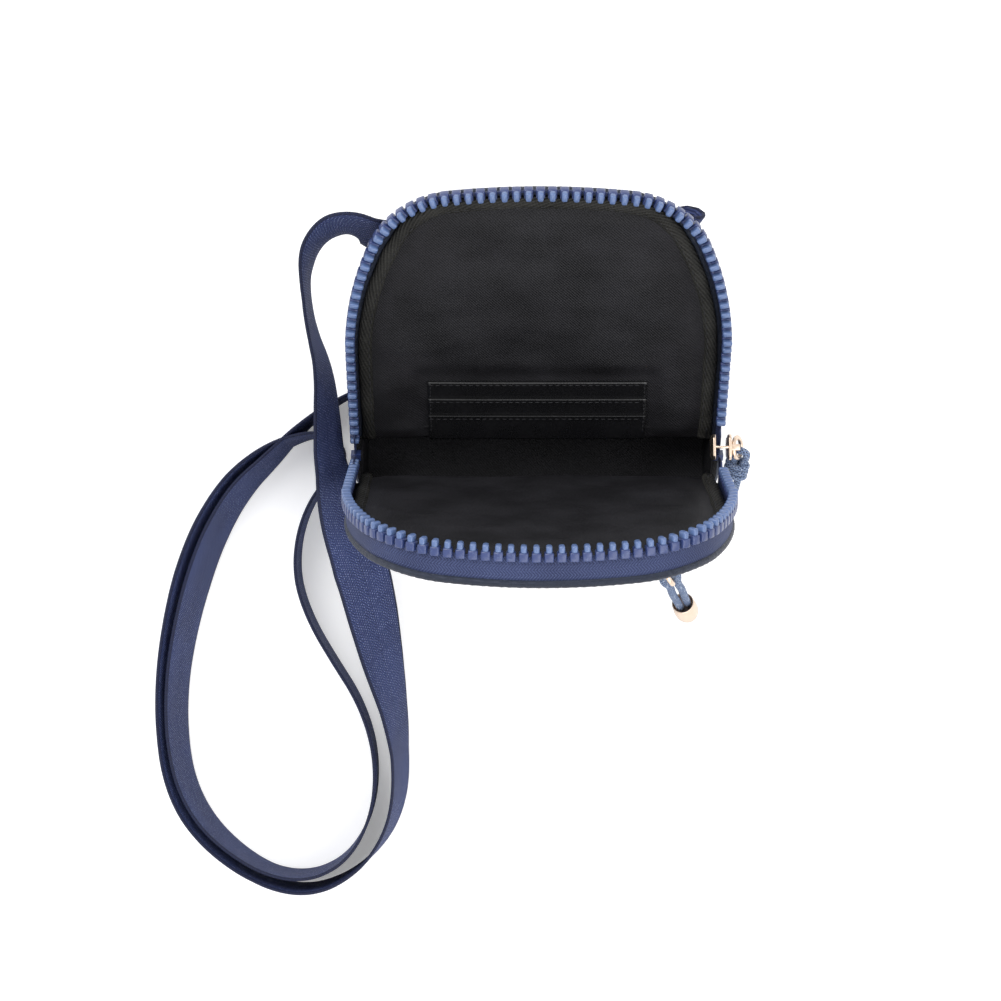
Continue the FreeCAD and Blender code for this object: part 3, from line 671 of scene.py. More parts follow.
    def plate(self, outline: Sequence[Pair], thick: float, base: Matrix,
              bevel: float) -> None:
        """Add a flat plate with rounded edges.

        Args:
            outline: corners in the local x and y.
            thick: thickness along the local z, up from zero.
            base: placement.
            bevel: width of the rounding.
        """
        piece = bmesh.new()
        face = piece.faces.new([piece.verts.new((x, y, 0)) for x, y in outline])
        made = bmesh.ops.extrude_face_region(piece, geom=[face])
        top = [v for v in made["geom"] if isinstance(v, bmesh.types.BMVert)]
        bmesh.ops.translate(piece, vec=Vector((0, 0, thick)), verts=top)
        bmesh.ops.bevel(piece, geom=piece.edges[:], offset=bevel, segments=3, profile=0.5,
                        affect="EDGES")
        self.take(piece, base)

    def take(self, piece: bmesh.types.BMesh, base: Matrix, painted_light_share: float = 0.0) -> None:
        """Move a finished form into this mesh.

        Args:
            piece: form to take; it is freed.
            base: placement.
            painted_light_share: share of the finish's tip colour, a painted highlight.
        """
        piece.transform(base)
        layer = piece.loops.layers.uv.new("Cloth")
        for face in piece.faces:
            face.smooth = True
            for loop in face.loops:
                # The cloth coordinate carries the share of the painted highlight colour.
                loop[layer].uv = (painted_light_share * MM, 0.0)
        part = bpy.data.meshes.new("part")
        piece.to_mesh(part)
        piece.free()
        self.mesh.from_mesh(part)
        bpy.data.meshes.remove(part)

    def object(self, name: str, finish: Finish, body: str, *replaces: str) -> bpy.types.Object:
        """Turn the mesh into a piece of the bag.

        Args:
            name: name of the piece.
            finish: its finish.
            body: body that it rides on, or an empty string to leave that open.
            replaces: CAD nodes that it stands for.

        Returns:
            The new object.
        """
        bmesh.ops.remove_doubles(self.mesh, verts=self.mesh.verts, dist=1e-7)
        bmesh.ops.recalc_face_normals(self.mesh, faces=self.mesh.faces)
        data = bpy.data.meshes.new(name)
        self.mesh.to_mesh(data)
        self.mesh.free()
        data.materials.append(finish.material)
        made = bpy.data.objects.new(name, data)
        bpy.context.scene.collection.objects.link(made)
        if body:
            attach(made, body)
        if replaces:
            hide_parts(*replaces)
        LOG.info("%s: %d faces on %s", name, len(data.polygons), body or "a blend")
        return made


def look(way: Vector, place: Vector, roll: Vector = Vector((0, 0, 1))) -> Matrix:
    """Placement with its z axis along a direction.

    Args:
        way: direction of the local z axis.
        place: origin.
        roll: direction that the local x axis leans to.

    Returns:
        The placement.
    """
    z = way.normalized()
    x = roll - z * roll.dot(z)
    x = x.normalized() if x.length > 1e-4 else z.orthogonal().normalized()
    y = z.cross(x)
    return Matrix.Translation(place) @ Matrix((x, y, z)).transposed().to_4x4()


def smooth(low: float, high: float, value: float) -> float:
    """Smooth step between two limits.

    Args:
        low: where it leaves 0.
        high: where it reaches 1.
        value: input.

    Returns:
        A number from 0 to 1.
    """
    t = min(max((value - low) / (high - low), 0.0), 1.0)
    return t * t * (3 - 2 * t)


def crease(x: float, h: float, size: float, seed: float) -> float:
    """Soft wrinkles of a cloth.

    Args:
        x: place across, in metres.
        h: place up, in metres.
        size: size of the wrinkles.
        seed: picks the pattern.

    Returns:
        A height from about -1 to 1.
    """
    broad = noise.noise(Vector((x / size, h / size, seed)))
    bend = noise.noise(Vector((x / size * 0.6, h / size * 1.7, seed + 7.0)))
    ridge = 1.0 - 2.0 * abs(bend)
    return 0.55 * broad + 0.45 * (ridge - 0.4)


def stitches(maker: MeshMaker, path: Sequence[Tuple[Vector, Vector]], length: float,
             gap: float, thick: float) -> None:
    """Add a row of stitches.

    Args:
        maker: mesh that takes them.
        path: (place, outward direction) pairs along the row.
        length: length of a stitch.
        gap: space between two stitches.
        thick: thickness of the thread.
    """
    travelled = 0.0
    due = 0.0
    for (a, out_a), (b, _) in zip(path, path[1:]):
        run = (b - a).length
        while due < travelled + run:
            place = a.lerp(b, (due - travelled) / run) + out_a * (thick * 0.25)
            base = look(b - a, place, out_a)
            maker.ball(base, Vector((thick, thick * 1.1, length)))
            due += length + gap
        travelled += run


# ---- form of the bag -------------------------------------------------------------
@dataclass(frozen=True)
class Arch:
    """Outline of a half: straight foot, side arc, corner and crown.

    Attributes:
        half_width: middle of the bag to the outline at the hinge.
        foot: height of the straight foot above the hinge.
        side: radius of the side arc.
        corner: radius of the corner.
        crown: radius of the crown.
        rise: height of the crown above the hinge.
    """

    half_width: float
    foot: float
    side: float
    corner: float
    crown: float
    rise: float

    @cached_property
    def arcs(self) -> List[Tuple[float, float, float, float]]:
        """Middle, radius and end angle from upright of each arc, from the crown down."""
        side_x, side_h = self.half_width - self.side, self.foot
        crown_h = self.rise - self.crown
        to_side, to_crown = self.side - self.corner, self.crown - self.corner
        apart = math.hypot(side_x, crown_h - side_h)
        along = (to_side ** 2 - to_crown ** 2 + apart ** 2) / (2 * apart)
        off = math.sqrt(to_side ** 2 - along ** 2)
        way_x, way_h = -side_x / apart, (crown_h - side_h) / apart
        x = side_x + way_x * along - way_h * off
        h = side_h + way_h * along + way_x * off
        return [(0.0, crown_h, self.crown, math.atan2(x, h - crown_h)),
                (x, h, self.corner, math.atan2(x - side_x, h - side_h)),
                (side_x, side_h, self.side, math.pi / 2)]

    @cached_property
    def reach(self) -> float:
        """Length of the outline from the crown's top to the hinge."""
        total, start = self.foot, 0.0
        for _, _, radius, end in self.arcs:
            total += (end - start) * radius
            start = end
        return total

    def at(self, distance: float, inset: float = 0.0) -> Tuple[float, float, float]:
        """Place on the outline.

        Args:
            distance: along the outline from the crown's top, to the right.
            inset: distance inside the outline.

        Returns:
            Its x, its height and the outward angle from upright.
        """
        sign = 1.0 if distance >= 0 else -1.0
        left, turn = abs(distance), 0.0
        for x, h, radius, end in self.arcs:
            start, turn = turn, min(turn + left / radius, end)
            left -= (turn - start) * radius
            if turn < end:
                break
        x += (radius - inset) * math.sin(turn)
        h += (radius - inset) * math.cos(turn) - max(left, 0.0)
        return sign * x, h, sign * turn

    def top(self, x: float, inset: float) -> float:
        """Height of the outline over a place across.

        Args:
            x: place across.
            inset: distance inside the outline.

        Returns:
            The height above the hinge.
        """
        x = abs(x)
        for middle, h, radius, end in self.arcs:
            if x <= middle + (radius - inset) * math.sin(end):
                return h + math.sqrt(max((radius - inset) ** 2 - (x - middle) ** 2, 0.0))
        return self.foot

    def depth(self, x: float, h: float) -> float:
        """Distance of a place inside the outline.

        Args:
            x: place across.
            h: height above the hinge.

        Returns:
            The distance to the nearest side or to the top.
        """
        x = abs(x)
        gaps = [radius - math.hypot(x - mx, h - mh) for mx, mh, radius, _ in self.arcs]
        mx, mh, _, end = self.arcs[1]
        if self.arcs[0][3] <= math.atan2(x - mx, h - mh) <= end:
            return gaps[1]
        return min(gaps[0], gaps[2] if h > self.foot else self.half_width - x)


HINGE_HEIGHT = 43.0 * MM
FOLD_GAP = 0.4 * MM
POCKET_ZIP_RISE = 97 * MM
STRAP_WIDTH = 25 * MM
SEAM = Arch(74.6 * MM, 46.7 * MM, 127.5 * MM, 36.2 * MM, 317.0 * MM, 121.9 * MM)
CURLED = Arch(74.0 * MM, 40.0 * MM, 120.0 * MM, 33.0 * MM, 312.5 * MM, 117.4 * MM)


@dataclass(frozen=True)
class Fold:
    """Where one half stands: it leans out from the shut pose about the hinge.

    Attributes:
        sign: 1 for the back half, -1 for the front half.
        lean: degrees open.
        hinge: height of the hinge.
        bow: how far the middle of the top bows out.
    """

    sign: float
    lean: float
    hinge: float = HINGE_HEIGHT
    bow: float = 0.0

    def place(self, x: float, d: float, h: float) -> Vector:
        """Point of the half as it stands open.

        Args:
            x: place across.
            d: distance out from the seam plane.
            h: height above the hinge.

        Returns:
            The point.
        """
        d += self.bow * smooth(96 * MM, 124 * MM, h) * max(0.0, 1 - (x / (62 * MM)) ** 2)
        return self.flat(x, d, h)

    def flat(self, x: float, d: float, h: float) -> Vector:
        """Point of the half without its bow.

        Args:
            x: place across.
            d: distance out from the seam plane.
            h: height above the hinge.

        Returns:
            The point.
        """
        turn = math.radians(self.lean)
        y = d * math.cos(turn) + h * math.sin(turn)
        return Vector((x, self.sign * y, self.hinge + h * math.cos(turn) - d * math.sin(turn)))


class Half(Enum):
    """The two halves of the bag."""

    BACK = "back"
    FRONT = "front"

    @property
    def body(self) -> str:
        """CAD body of the half."""
        return self.value + "_half"

    @property
    def fold(self) -> Fold:
        """Where the half stands."""
        return Fold(1.0, 51.0) if self is Half.BACK else Fold(-1.0, 15.0, bow=4.2 * MM)

    @property
    def rim(self) -> Arch:
        """Outline of its outer edge, which curls in on the back half."""
        return CURLED if self is Half.BACK else SEAM


@dataclass(frozen=True)
class ToothForm:
    """Sizes of the main zip's moulded teeth.

    Attributes:
        pitch: spacing along the seam line.
        first_right: height of the first tooth on the right, clear of the parked slider.
        first_left: height of the first tooth on the left.
        short_below: height below which the teeth are short, clear of the slider's wedge.
        short: depth of the tip and of the neck of a short tooth.
        long: depth of the tip and of the neck of a long tooth.
        root: depth of the back end.
        overlap: how far the head reaches into the body.
        body: width and thickness of the body.
        head: width and thickness of the head.
        body_bevel: bevel of the body.
        head_bevel: bevel of the head.
    """

    pitch: float = 4.5 * MM
    first_right: float = 14.0 * MM
    first_left: float = 3.0 * MM
    short_below: float = 54 * MM
    short: Pair = (0.75 * MM, 2.9 * MM)
    long: Pair = (-1.1 * MM, 1.4 * MM)
    root: float = 4.9 * MM
    overlap: float = 0.35 * MM
    body: Pair = (3.4 * MM, 3.9 * MM)
    head: Pair = (2.25 * MM, 3.7 * MM)
    body_bevel: float = 0.5 * MM
    head_bevel: float = 0.75 * MM


@dataclass
class HalfShell:
    """Everything that is sewn to one half, seen from the shut pose.

    Attributes:
        half: which half.
        foam: thickness of its padding.
        pocket: depth that a pocket takes between panel and padding.
        depth: seam plane to the outer face.
        nylon: thickness of the panel.
        lining: thickness of the lining.
        gap: space between two layers.
        roll: radius of the padded edge.
        binding_width: width of the binding inside.
        tape_start: seam plane to the tape's edge.
        past_teeth: seam plane to where the tape starts to lean to the rim.
        swell: how far the padded panel swells.
        panel_inset: rim to the panel's edge.
        padding_inset: rim to the padding's edge.
        lining_inset: rim to the lining's edge.
        binding_inset: rim to the binding's outer edge.
        stitch_inset: rim to the row of stitches beside the binding.
        roll_inset: rim to the middle of the padded edge.
        lining_size: flat size of the lining's cloth, in metres; not used.
        lining_area: its flat area, in square metres; not used.
    """

    half: Half
    foam: float
    pocket: float = 0.0
    depth: float = 15.0 * MM
    nylon: float = 0.9 * MM
    lining: float = 0.7 * MM
    gap: float = 0.1 * MM
    roll: float = 1.7 * MM
    binding_width: float = 5.4 * MM
    tape_start: float = 3.2 * MM
    past_teeth: float = 4.65 * MM
    swell: float = 2.0 * MM
    panel_inset: float = 2.4 * MM
    padding_inset: float = 3.5 * MM
    lining_inset: float = 3.3 * MM
    binding_inset: float = 2.0 * MM
    stitch_inset: float = 6.2 * MM
    roll_inset: float = 0.7 * MM
    lining_size: Pair = (0.143, 0.119)
    lining_area: float = 0.0158

    @property
    def fold(self) -> Fold:
        """Where the half stands."""
        return self.half.fold

    @property
    def face(self) -> float:
        """Seam plane to the lining's inner face."""
        return self.depth - self.nylon - self.foam - self.lining - 2 * self.gap - self.pocket

    def sheet(self, maker: MeshMaker, inset: float, inner: Depth, outer: Depth,
              columns: int = 96, rows: int = 64) -> None:
        """Add a sheet with the outline of the half.

        Args:
            maker: mesh that takes it.
            inset: distance of its edge inside the seam line.
            inner: depth of its inner face from x, height and distance to the edge.
            outer: depth of its outer face, likewise.
            columns: quads across.
            rows: quads up.
        """
        rim = self.half.rim
        wide = rim.half_width - inset - 0.01 * MM
        low = FOLD_GAP
        first: Grid = []
        second: Grid = []
        cloth: Grid = []
        for r in range(rows + 1):
            row_a, row_b, strip = [], [], []
            for c in range(columns + 1):
                x = wide * math.sin(math.pi / 2 * (2 * c / columns - 1))
                h = low + (rim.top(x, inset) - low) * (1 - (1 - r / rows) ** 1.15)
                edge = max(rim.depth(x, h) - inset, 0.0)
                row_a.append(self.fold.place(x, outer(x, h, edge), h))
                row_b.append(self.fold.place(x, inner(x, h, edge), h))
                strip.append(Vector((x, h, 0)))
            first.append(row_a)
            second.append(row_b)
            cloth.append(strip)
        maker.shell(first, second, cloth)

    def strip(self, maker: MeshMaker, inset: float, start: float, end: float, thick: float,
              feet: float = 0.0, wave: float = 0.0) -> None:
        """Add a strip of tape that follows the arch, square to the seam plane.

        Args:
            maker: mesh that takes it.
            inset: distance of its outer face inside the seam line.
            start: depth of its near edge.
            end: depth of its far edge.
            thick: thickness.
            feet: height above the hinge below which the tape reaches the seam plane.
            wave: height of its soft waves.
        """
        rim = self.half.rim
        foot = 0.5 * MM
        count = 220
        across = 8
        first: Grid = []
        second: Grid = []
        cloth: Grid = []
        for k in range(count + 1):
            share = 2 * k / count - 1
            along = (SEAM.reach - FOLD_GAP) * share
            x, h, turn = SEAM.at(along, inset)
            far_x, far_h, _ = rim.at((rim.reach - FOLD_GAP) * share, inset)
            near = foot + (start - foot) * smooth(feet - 2 * MM, feet, h) if feet else start
            row_a, row_b, strip = [], [], []
            for c in range(across + 1):
                d = near + (end - near) * c / across
                lift = wave * math.sin(math.pi * c / across) * crease(along, 0.0, 24 * MM, 3.0)
                drawn = max(d - self.past_teeth, 0.0) / (end - self.past_teeth)
                px, ph = x + (far_x - x) * drawn, h + (far_h - h) * drawn
                sx, sh = math.sin(turn), math.cos(turn)
                row_a.append(self.fold.place(px + sx * lift, d, ph + sh * lift))
                low = lift - thick
                row_b.append(self.fold.place(px + sx * low, d, ph + sh * low))
                strip.append(Vector((d, along, 0)))
            first.append(row_a)
            second.append(row_b)
            cloth.append(strip)
        maker.shell(first, second, cloth)

    def edge_path(self, inset: float, d: float, count: int = 260) -> List[Vector]:
        """Points along the arch.

        Args:
            inset: distance inside the seam line.
            d: depth.
            count: number of runs.

        Returns:
            The points, from the left foot to the right foot.
        """
        rim = self.half.rim
        points = []
        for k in range(count + 1):
            x, h, _ = rim.at((rim.reach - 0.5 * MM) * (2 * k / count - 1), inset)
            points.append(self.fold.place(x, d, h))
        return points

    def band(self, maker: MeshMaker, count: int = 300, around: int = 12) -> None:
        """Add the lumpy binding that wraps the lining's edge.

        Args:
            maker: mesh that takes it.
            count: quads along the rim.
            around: quads across its face.
        """
        rim = self.half.rim
        rows: Grid = []
        cloth: Grid = []
        for k in range(count + 1):
            along = (rim.reach - 0.5 * MM) * (2 * k / count - 1)
            lump = crease(along, 0.0, 11 * MM, 41.0 + self.fold.sign)
            half_wide = self.binding_width / 2 + 0.7 * MM * lump
            proud = 1.7 * MM + 0.5 * MM * crease(along, 0.0, 6 * MM, 47.0)
            row, strip = [], []
            for j in range(around + 1):
                turn = math.pi * j / around
                inset = self.binding_inset + self.binding_width / 2 - half_wide * math.cos(turn)
                ruck = 0.25 * MM * crease(along, inset, 3.5 * MM, 53.0) * math.sin(turn)
                x, h, _ = rim.at(along, inset)
                d = self.face + self.gap - proud * math.sin(turn) ** 0.8 - ruck
                row.append(self.fold.place(x, d, h))
                strip.append(Vector((self.binding_width * 1.3 * j / around, along, 0)))
            rows.append(row)
            cloth.append(strip + strip[:1])
        made = maker.grid(rows, cloth, closed=True)
        maker.mesh.faces.new(made[0][::-1])
        maker.mesh.faces.new(made[-1])

    def bulge(self, x: float, h: float, edge: float) -> float:
        """Swell of the padded panel over its flat face.

        Args:
            x: place across.
            h: height above the hinge.
            edge: distance to its edge.

        Returns:
            The height of the swell.
        """
        padded = self.swell * (1 - math.exp(-edge / (11 * MM)))
        drawn_in = 0.5 * MM * math.exp(-edge / (2 * MM))
        folds = 0.7 * MM * crease(x, h, 26 * MM, 11.0 + self.fold.sign) * smooth(0, 12 * MM, edge)
        return (padded - drawn_in + folds) * smooth(0, 14 * MM, h)

    def make_panel(self) -> None:
        """Padded outer panel, with the pocket's opening on the front."""
        window_floor = self.depth - 1.7 * MM

        def outer(x: float, h: float, edge: float) -> float:
            """Depth of the panel's outer face, which dips in at the window."""
            sunk = 0.0
            if self.pocket > 0:
                beside = smooth(54 * MM, 51.5 * MM, abs(x))
                sunk = beside * smooth(5.2 * MM, 3.8 * MM, abs(h - POCKET_ZIP_RISE))
            face = self.depth + self.bulge(x, h, edge)
            return face * (1 - sunk) + window_floor * sunk

        maker = MeshMaker()
        self.sheet(maker, self.panel_inset, lambda x, h, e: outer(x, h, e) - self.nylon,
                   outer, 120, 110)
        made = maker.object(self.half.value + "_panel_cloth", Finish.NYLON, self.half.body,
                            self.half.value + "_panel")

    def make_padding(self) -> None:
        """Foam between the panel and the lining."""
        low = self.face + self.lining + self.gap
        maker = MeshMaker()
        self.sheet(maker, self.padding_inset, lambda x, h, e: low,
                   lambda x, h, e: low + self.foam, 40, 24)
        made = maker.object(self.half.value + "_padding", Finish.FOAM, self.half.body,
                            self.half.value + "_foam")

    def make_lining(self, calm: Pair) -> None:
        """Black lining with soft wrinkles.

        Args:
            calm: half width and height of the part that other pieces hold flat.
        """
        def wrinkle(x: float, h: float, edge: float) -> float:
            """Height of the lining's wrinkles, which die out at its edge."""
            beside = 1 - smooth(calm[0], calm[0] + 8 * MM, abs(x))
            held = beside * (1 - smooth(calm[1], calm[1] + 8 * MM, h))
            lift = 0.5 + 0.5 * crease(x + h * 0.5, h * 0.6, 27 * MM, 31.0 + self.fold.sign)
            pull = 0.5 + 0.5 * crease(x * 0.8, h, 14 * MM, 57.0)
            amount = 2.6 * MM * max(lift, 0.0) + 0.6 * MM * pull
            return amount * smooth(0, 10 * MM, edge) * smooth(0, 6 * MM, h) * (1 - held)

        def inner(x: float, h: float, edge: float) -> float:
            """Depth of the lining's inner face."""
            return self.face - wrinkle(x, h, edge)

        maker = MeshMaker()
        self.sheet(maker, self.lining_inset, inner, lambda x, h, e: inner(x, h, e) + self.lining,
                   130, 110)
        made = maker.object(self.half.value + "_lining_cloth", Finish.LINING, self.half.body,
                            self.half.value + "_lining")

    def make_edges(self) -> None:
        """Padded edge, binding and their stitching."""
        name = self.half.value
        maker = MeshMaker()
        roll_d = self.depth - self.roll
        maker.tube(self.edge_path(self.roll_inset, roll_d),
                   lambda s, t: self.roll * (1 + 0.05 * math.sin(s / MM * 1.9)), 14)
        maker.object(name + "_piping", Finish.PIPING, self.half.body, name + "_edge_roll")
        maker = MeshMaker()
        self.band(maker)
        maker.object(name + "_grosgrain", Finish.BINDING, self.half.body, name + "_binding")
        maker = MeshMaker()
        row = []
        runs = 299
        for k in range(runs + 1):
            along = (self.half.rim.reach - 6 * MM) * (2 * k / runs - 1)
            x, h, _ = self.half.rim.at(along, self.stitch_inset)
            place = self.fold.place(x, self.face - 1.45 * MM, h)
            out = (self.fold.flat(x, -1.0, h) - self.fold.flat(x, 0.0, h)).normalized()
            row.append((place, out))
        stitches(maker, row, 2.4 * MM, 0.9 * MM, 0.38 * MM)
        maker.object(name + "_binding_stitches", Finish.THREAD, self.half.body)

    def make_tape(self) -> None:
        """Woven tape between the teeth and the padded edge."""
        maker = MeshMaker()
        end = self.depth - 2 * self.roll - self.gap
        self.strip(maker, -0.3 * MM, self.tape_start, end + 0.4 * MM, 0.6 * MM, 12 * MM, 0.5 * MM)
        maker.object(self.half.value + "_tape_weave", Finish.TAPE, self.half.body,
                     self.half.value + "_zip_tape")

    def make_teeth(self, phase: float, form: ToothForm) -> None:
        """Moulded teeth: a block that grips the tape and a rounded head.

        Args:
            phase: offset of the row, as a share of the pitch.
            form: sizes of a tooth.
        """
        maker = MeshMaker()
        count = int(SEAM.reach / form.pitch) + 1
        for k in range(-count, count + 1):
            x, h, turn = SEAM.at((k + phase) * form.pitch)
            if h < (form.first_right if x > 0 else form.first_left):
                continue
            out = (self.fold.flat(x + math.sin(turn), 0, h + math.cos(turn))
                   - self.fold.flat(x, 0, h))
            away = self.fold.flat(x, 1.0, h) - self.fold.flat(x, 0.0, h)
            tip, neck = form.short if h < form.short_below else form.long
            grip = neck + form.overlap

            def at(start: float, end: float) -> Matrix:
                """Placement of a block between two depths."""
                return look(out, self.fold.place(x, (start + end) / 2, h), away)

            body, head = (form.root - neck, *form.body), (grip - tip, *form.head)
            maker.block(at(neck, form.root), Vector(body), form.body_bevel)
            # Heads take the full tip colour as a painted highlight; bodies keep the darker base as
            # painted shade.
            maker.block(at(tip, grip), Vector(head), form.head_bevel, 3, 1.0)
        maker.object(self.half.value + "_moulded_teeth", Finish.TEETH, self.half.body,
                     self.half.value + "_zip_teeth")


# ---- card slips and front pocket -------------------------------------------------
@dataclass
class CardSlips:
    """Three stepped card slips on the back lining.

    Attributes:
        face: depth of the lining's inner face.
        half_width: half the width of a slip.
        base: height of their lower edges above the hinge.
        tops: heights of their top edges above the hinge.
        thick: thickness of a slip.
        gap: space between two slips.
    """

    face: float
    half_width: float = 44.5 * MM
    base: float = 1.0 * MM
    tops: Tuple[float, float, float] = (29 * MM, 21 * MM, 13 * MM)
    thick: float = 0.6 * MM
    gap: float = 0.1 * MM

    def make(self, fold: Fold) -> None:
        """Make the slips and their stitched ends.

        Args:
            fold: fold of the back half.
        """
        seams = MeshMaker()
        front = self.face - self.gap
        for name, top in zip(("top", "middle", "bottom"), self.tops):
            maker = MeshMaker()
            outer: Grid = []
            inner: Grid = []
            cloth: Grid = []
            for r in range(21):
                h = self.base + (top - self.base) * r / 20
                row_a, row_b, strip = [], [], []
                for c in range(61):
                    x = self.half_width * (c / 30 - 1)
                    loose = smooth(0.75, 1.0, r / 20) * (1 - (x / self.half_width) ** 4)
                    wave = 0.12 * MM * crease(x, h, 17 * MM, top / MM)
                    edge = 0.12 * MM * smooth(0.93, 1.0, r / 20)
                    near = front - self.thick - 0.22 * MM * loose + wave * loose - edge
                    row_a.append(fold.place(x, near, h))
                    row_b.append(fold.place(x, front - 0.15 * MM * loose, h))
                    strip.append(Vector((x, h, 0)))
                outer.append(row_a)
                inner.append(row_b)
                cloth.append(strip)
            maker.shell(outer, inner, cloth)
            maker.object("card_slip_%s_leather" % name, Finish.LEATHERETTE, "back_half",
                         "card_slip_" + name)
            out = fold.flat(0, -1.0, 0) - fold.flat(0, 0.0, 0)
            proud = front - self.thick
            line = [(fold.place(self.half_width * 0.97 * (k / 20 - 1), proud - 0.16 * MM,
                                top - 1.6 * MM), out) for k in range(41)]
            stitches(seams, line, 1.9 * MM, 0.8 * MM, 0.28 * MM)
            for side in (-1, 1):
                x = side * (self.half_width - 1.0 * MM)
                line = [(fold.place(x, proud - 0.03 * MM, top - 1.2 * MM - k * 1.6 * MM), out)
                        for k in range(5)]
                stitches(seams, line, 1.5 * MM, 0.5 * MM, 0.34 * MM)
            front -= self.thick + self.gap
        seams.object("card_slip_stitches", Finish.THREAD, "back_half")


@dataclass
class FrontPocket:
    """Zip of the front pocket: bag, tapes, coils and welts.

    Attributes:
        shell: the front half.
        rise: height of the zip above the hinge.
        half_length: half the length of the zip.
        bag_half_width: half the width of the bag.
        coil_turns: turns of one coil.
        coil_rise: zip's middle to the middle of a coil.
        coil_reach: half the width of a coil.
        coil_swell: half the depth of a coil.
        coil_wire: radius of the coil's wire.
        welt_rise: zip's middle to the middle of a welt.
        welt_radius: radius of a welt.
    """

    shell: HalfShell
    rise: float = POCKET_ZIP_RISE
    half_length: float = 52 * MM
    bag_half_width: float = 53.5 * MM
    coil_turns: int = 92
    coil_rise: float = 1.55 * MM
    coil_reach: float = 0.95 * MM
    coil_swell: float = 0.42 * MM
    coil_wire: float = 0.30 * MM
    welt_rise: float = 4.6 * MM
    welt_radius: float = 0.95 * MM

    def sheet(self, name: str, finish: Finish, rows: Sequence[Pair], thick: float,
              half_length: float, replaces: Tuple[str, ...] = ()) -> None:
        """Make a long sheet that follows the panel.

        Args:
            name: name of the piece.
            finish: its finish.
            rows: (height from the zip, depth of its outer face) pairs.
            thick: thickness.
            half_length: half its length.
            replaces: CAD nodes that it stands for.
        """
        maker = MeshMaker()
        outer: Grid = []
        inner: Grid = []
        cloth: Grid = []
        for lift, d in rows:
            xs = [half_length * (c / 30 - 1) for c in range(61)]
            outer.append([self.shell.fold.place(x, d, self.rise + lift) for x in xs])
            inner.append([self.shell.fold.place(x, d - thick, self.rise + lift) for x in xs])
            cloth.append([Vector((lift, x, 0)) for x in xs])
        maker.shell(outer, inner, cloth)
        maker.object(name, finish, "front_half", *replaces)

    def make(self) -> None:
        """Make the pocket's pieces."""
        face = self.shell.depth
        bag_in = face - 3.6 * MM
        slack = 0.2 * MM
        bag = [(-83 * MM, bag_in), (-60 * MM, bag_in - slack), (-20 * MM, bag_in - slack),
               (11 * MM, bag_in)]
        self.sheet("pocket_bag_cloth", Finish.LINING, bag, 0.4 * MM, self.bag_half_width,
                   ("front_pocket_bag",))
        for side, name in ((-1, "lower"), (1, "upper")):
            tape = [(side * 0.6 * MM, face - 1.1 * MM), (side * 3.0 * MM, face - 1.15 * MM),
                    (side * 6.0 * MM, face - 1.2 * MM)]
            self.sheet("pocket_tape_" + name, Finish.TAPE, tape, 0.4 * MM,
                       self.half_length + 0.5 * MM, ("pocket_zip_tape",) if side < 0 else ())
            self.make_coil(name, side, face - 0.75 * MM)
            self.make_welt(name, side, face - 0.35 * MM)

    def make_coil(self, name: str, side: int, d: float) -> None:
        """Make one coil of the zip.

        Args:
            name: lower or upper.
            side: -1 for the lower, 1 for the upper.
            d: depth of its middle.
        """
        steps = self.coil_turns * 10
        path = []
        for k in range(steps + 1):
            turn = math.tau * k / 10
            x = -self.half_length + 1 * MM + (2 * self.half_length - 2 * MM) * k / steps
            lift = side * (self.coil_rise + self.coil_reach * math.cos(turn))
            path.append(self.shell.fold.place(x, d + self.coil_swell * math.sin(turn),
                                              self.rise + lift))
        maker = MeshMaker()
        maker.tube(path, lambda s, t: self.coil_wire, 6)
        # The coil's cloth coordinates run past one, so most of its wire takes the teeth's tip
        # colour, the painted highlight.
        maker.object("pocket_coil_" + name, Finish.TEETH, "front_half",
                     *(("pocket_zip_coil",) if side < 0 else ()))

    def make_welt(self, name: str, side: int, d: float) -> None:
        """Make one rolled edge of the pocket's opening.

        Args:
            name: lower or upper.
            side: -1 for the lower, 1 for the upper.
            d: depth of its middle on a flat panel.
        """
        h = self.rise + side * self.welt_rise
        welt = []
        for k in range(81):
            x = (self.half_length + 1.5 * MM) * (k / 40 - 1)
            swell = self.shell.bulge(x, h, SEAM.depth(x, h))
            welt.append(self.shell.fold.place(x, d + swell, h))
        maker = MeshMaker()
        maker.tube(welt, lambda s, t: self.welt_radius * (1 + 0.05 * math.sin(s / MM * 1.3)), 10)
        maker.object("pocket_welt_" + name, Finish.PIPING, "front_half")


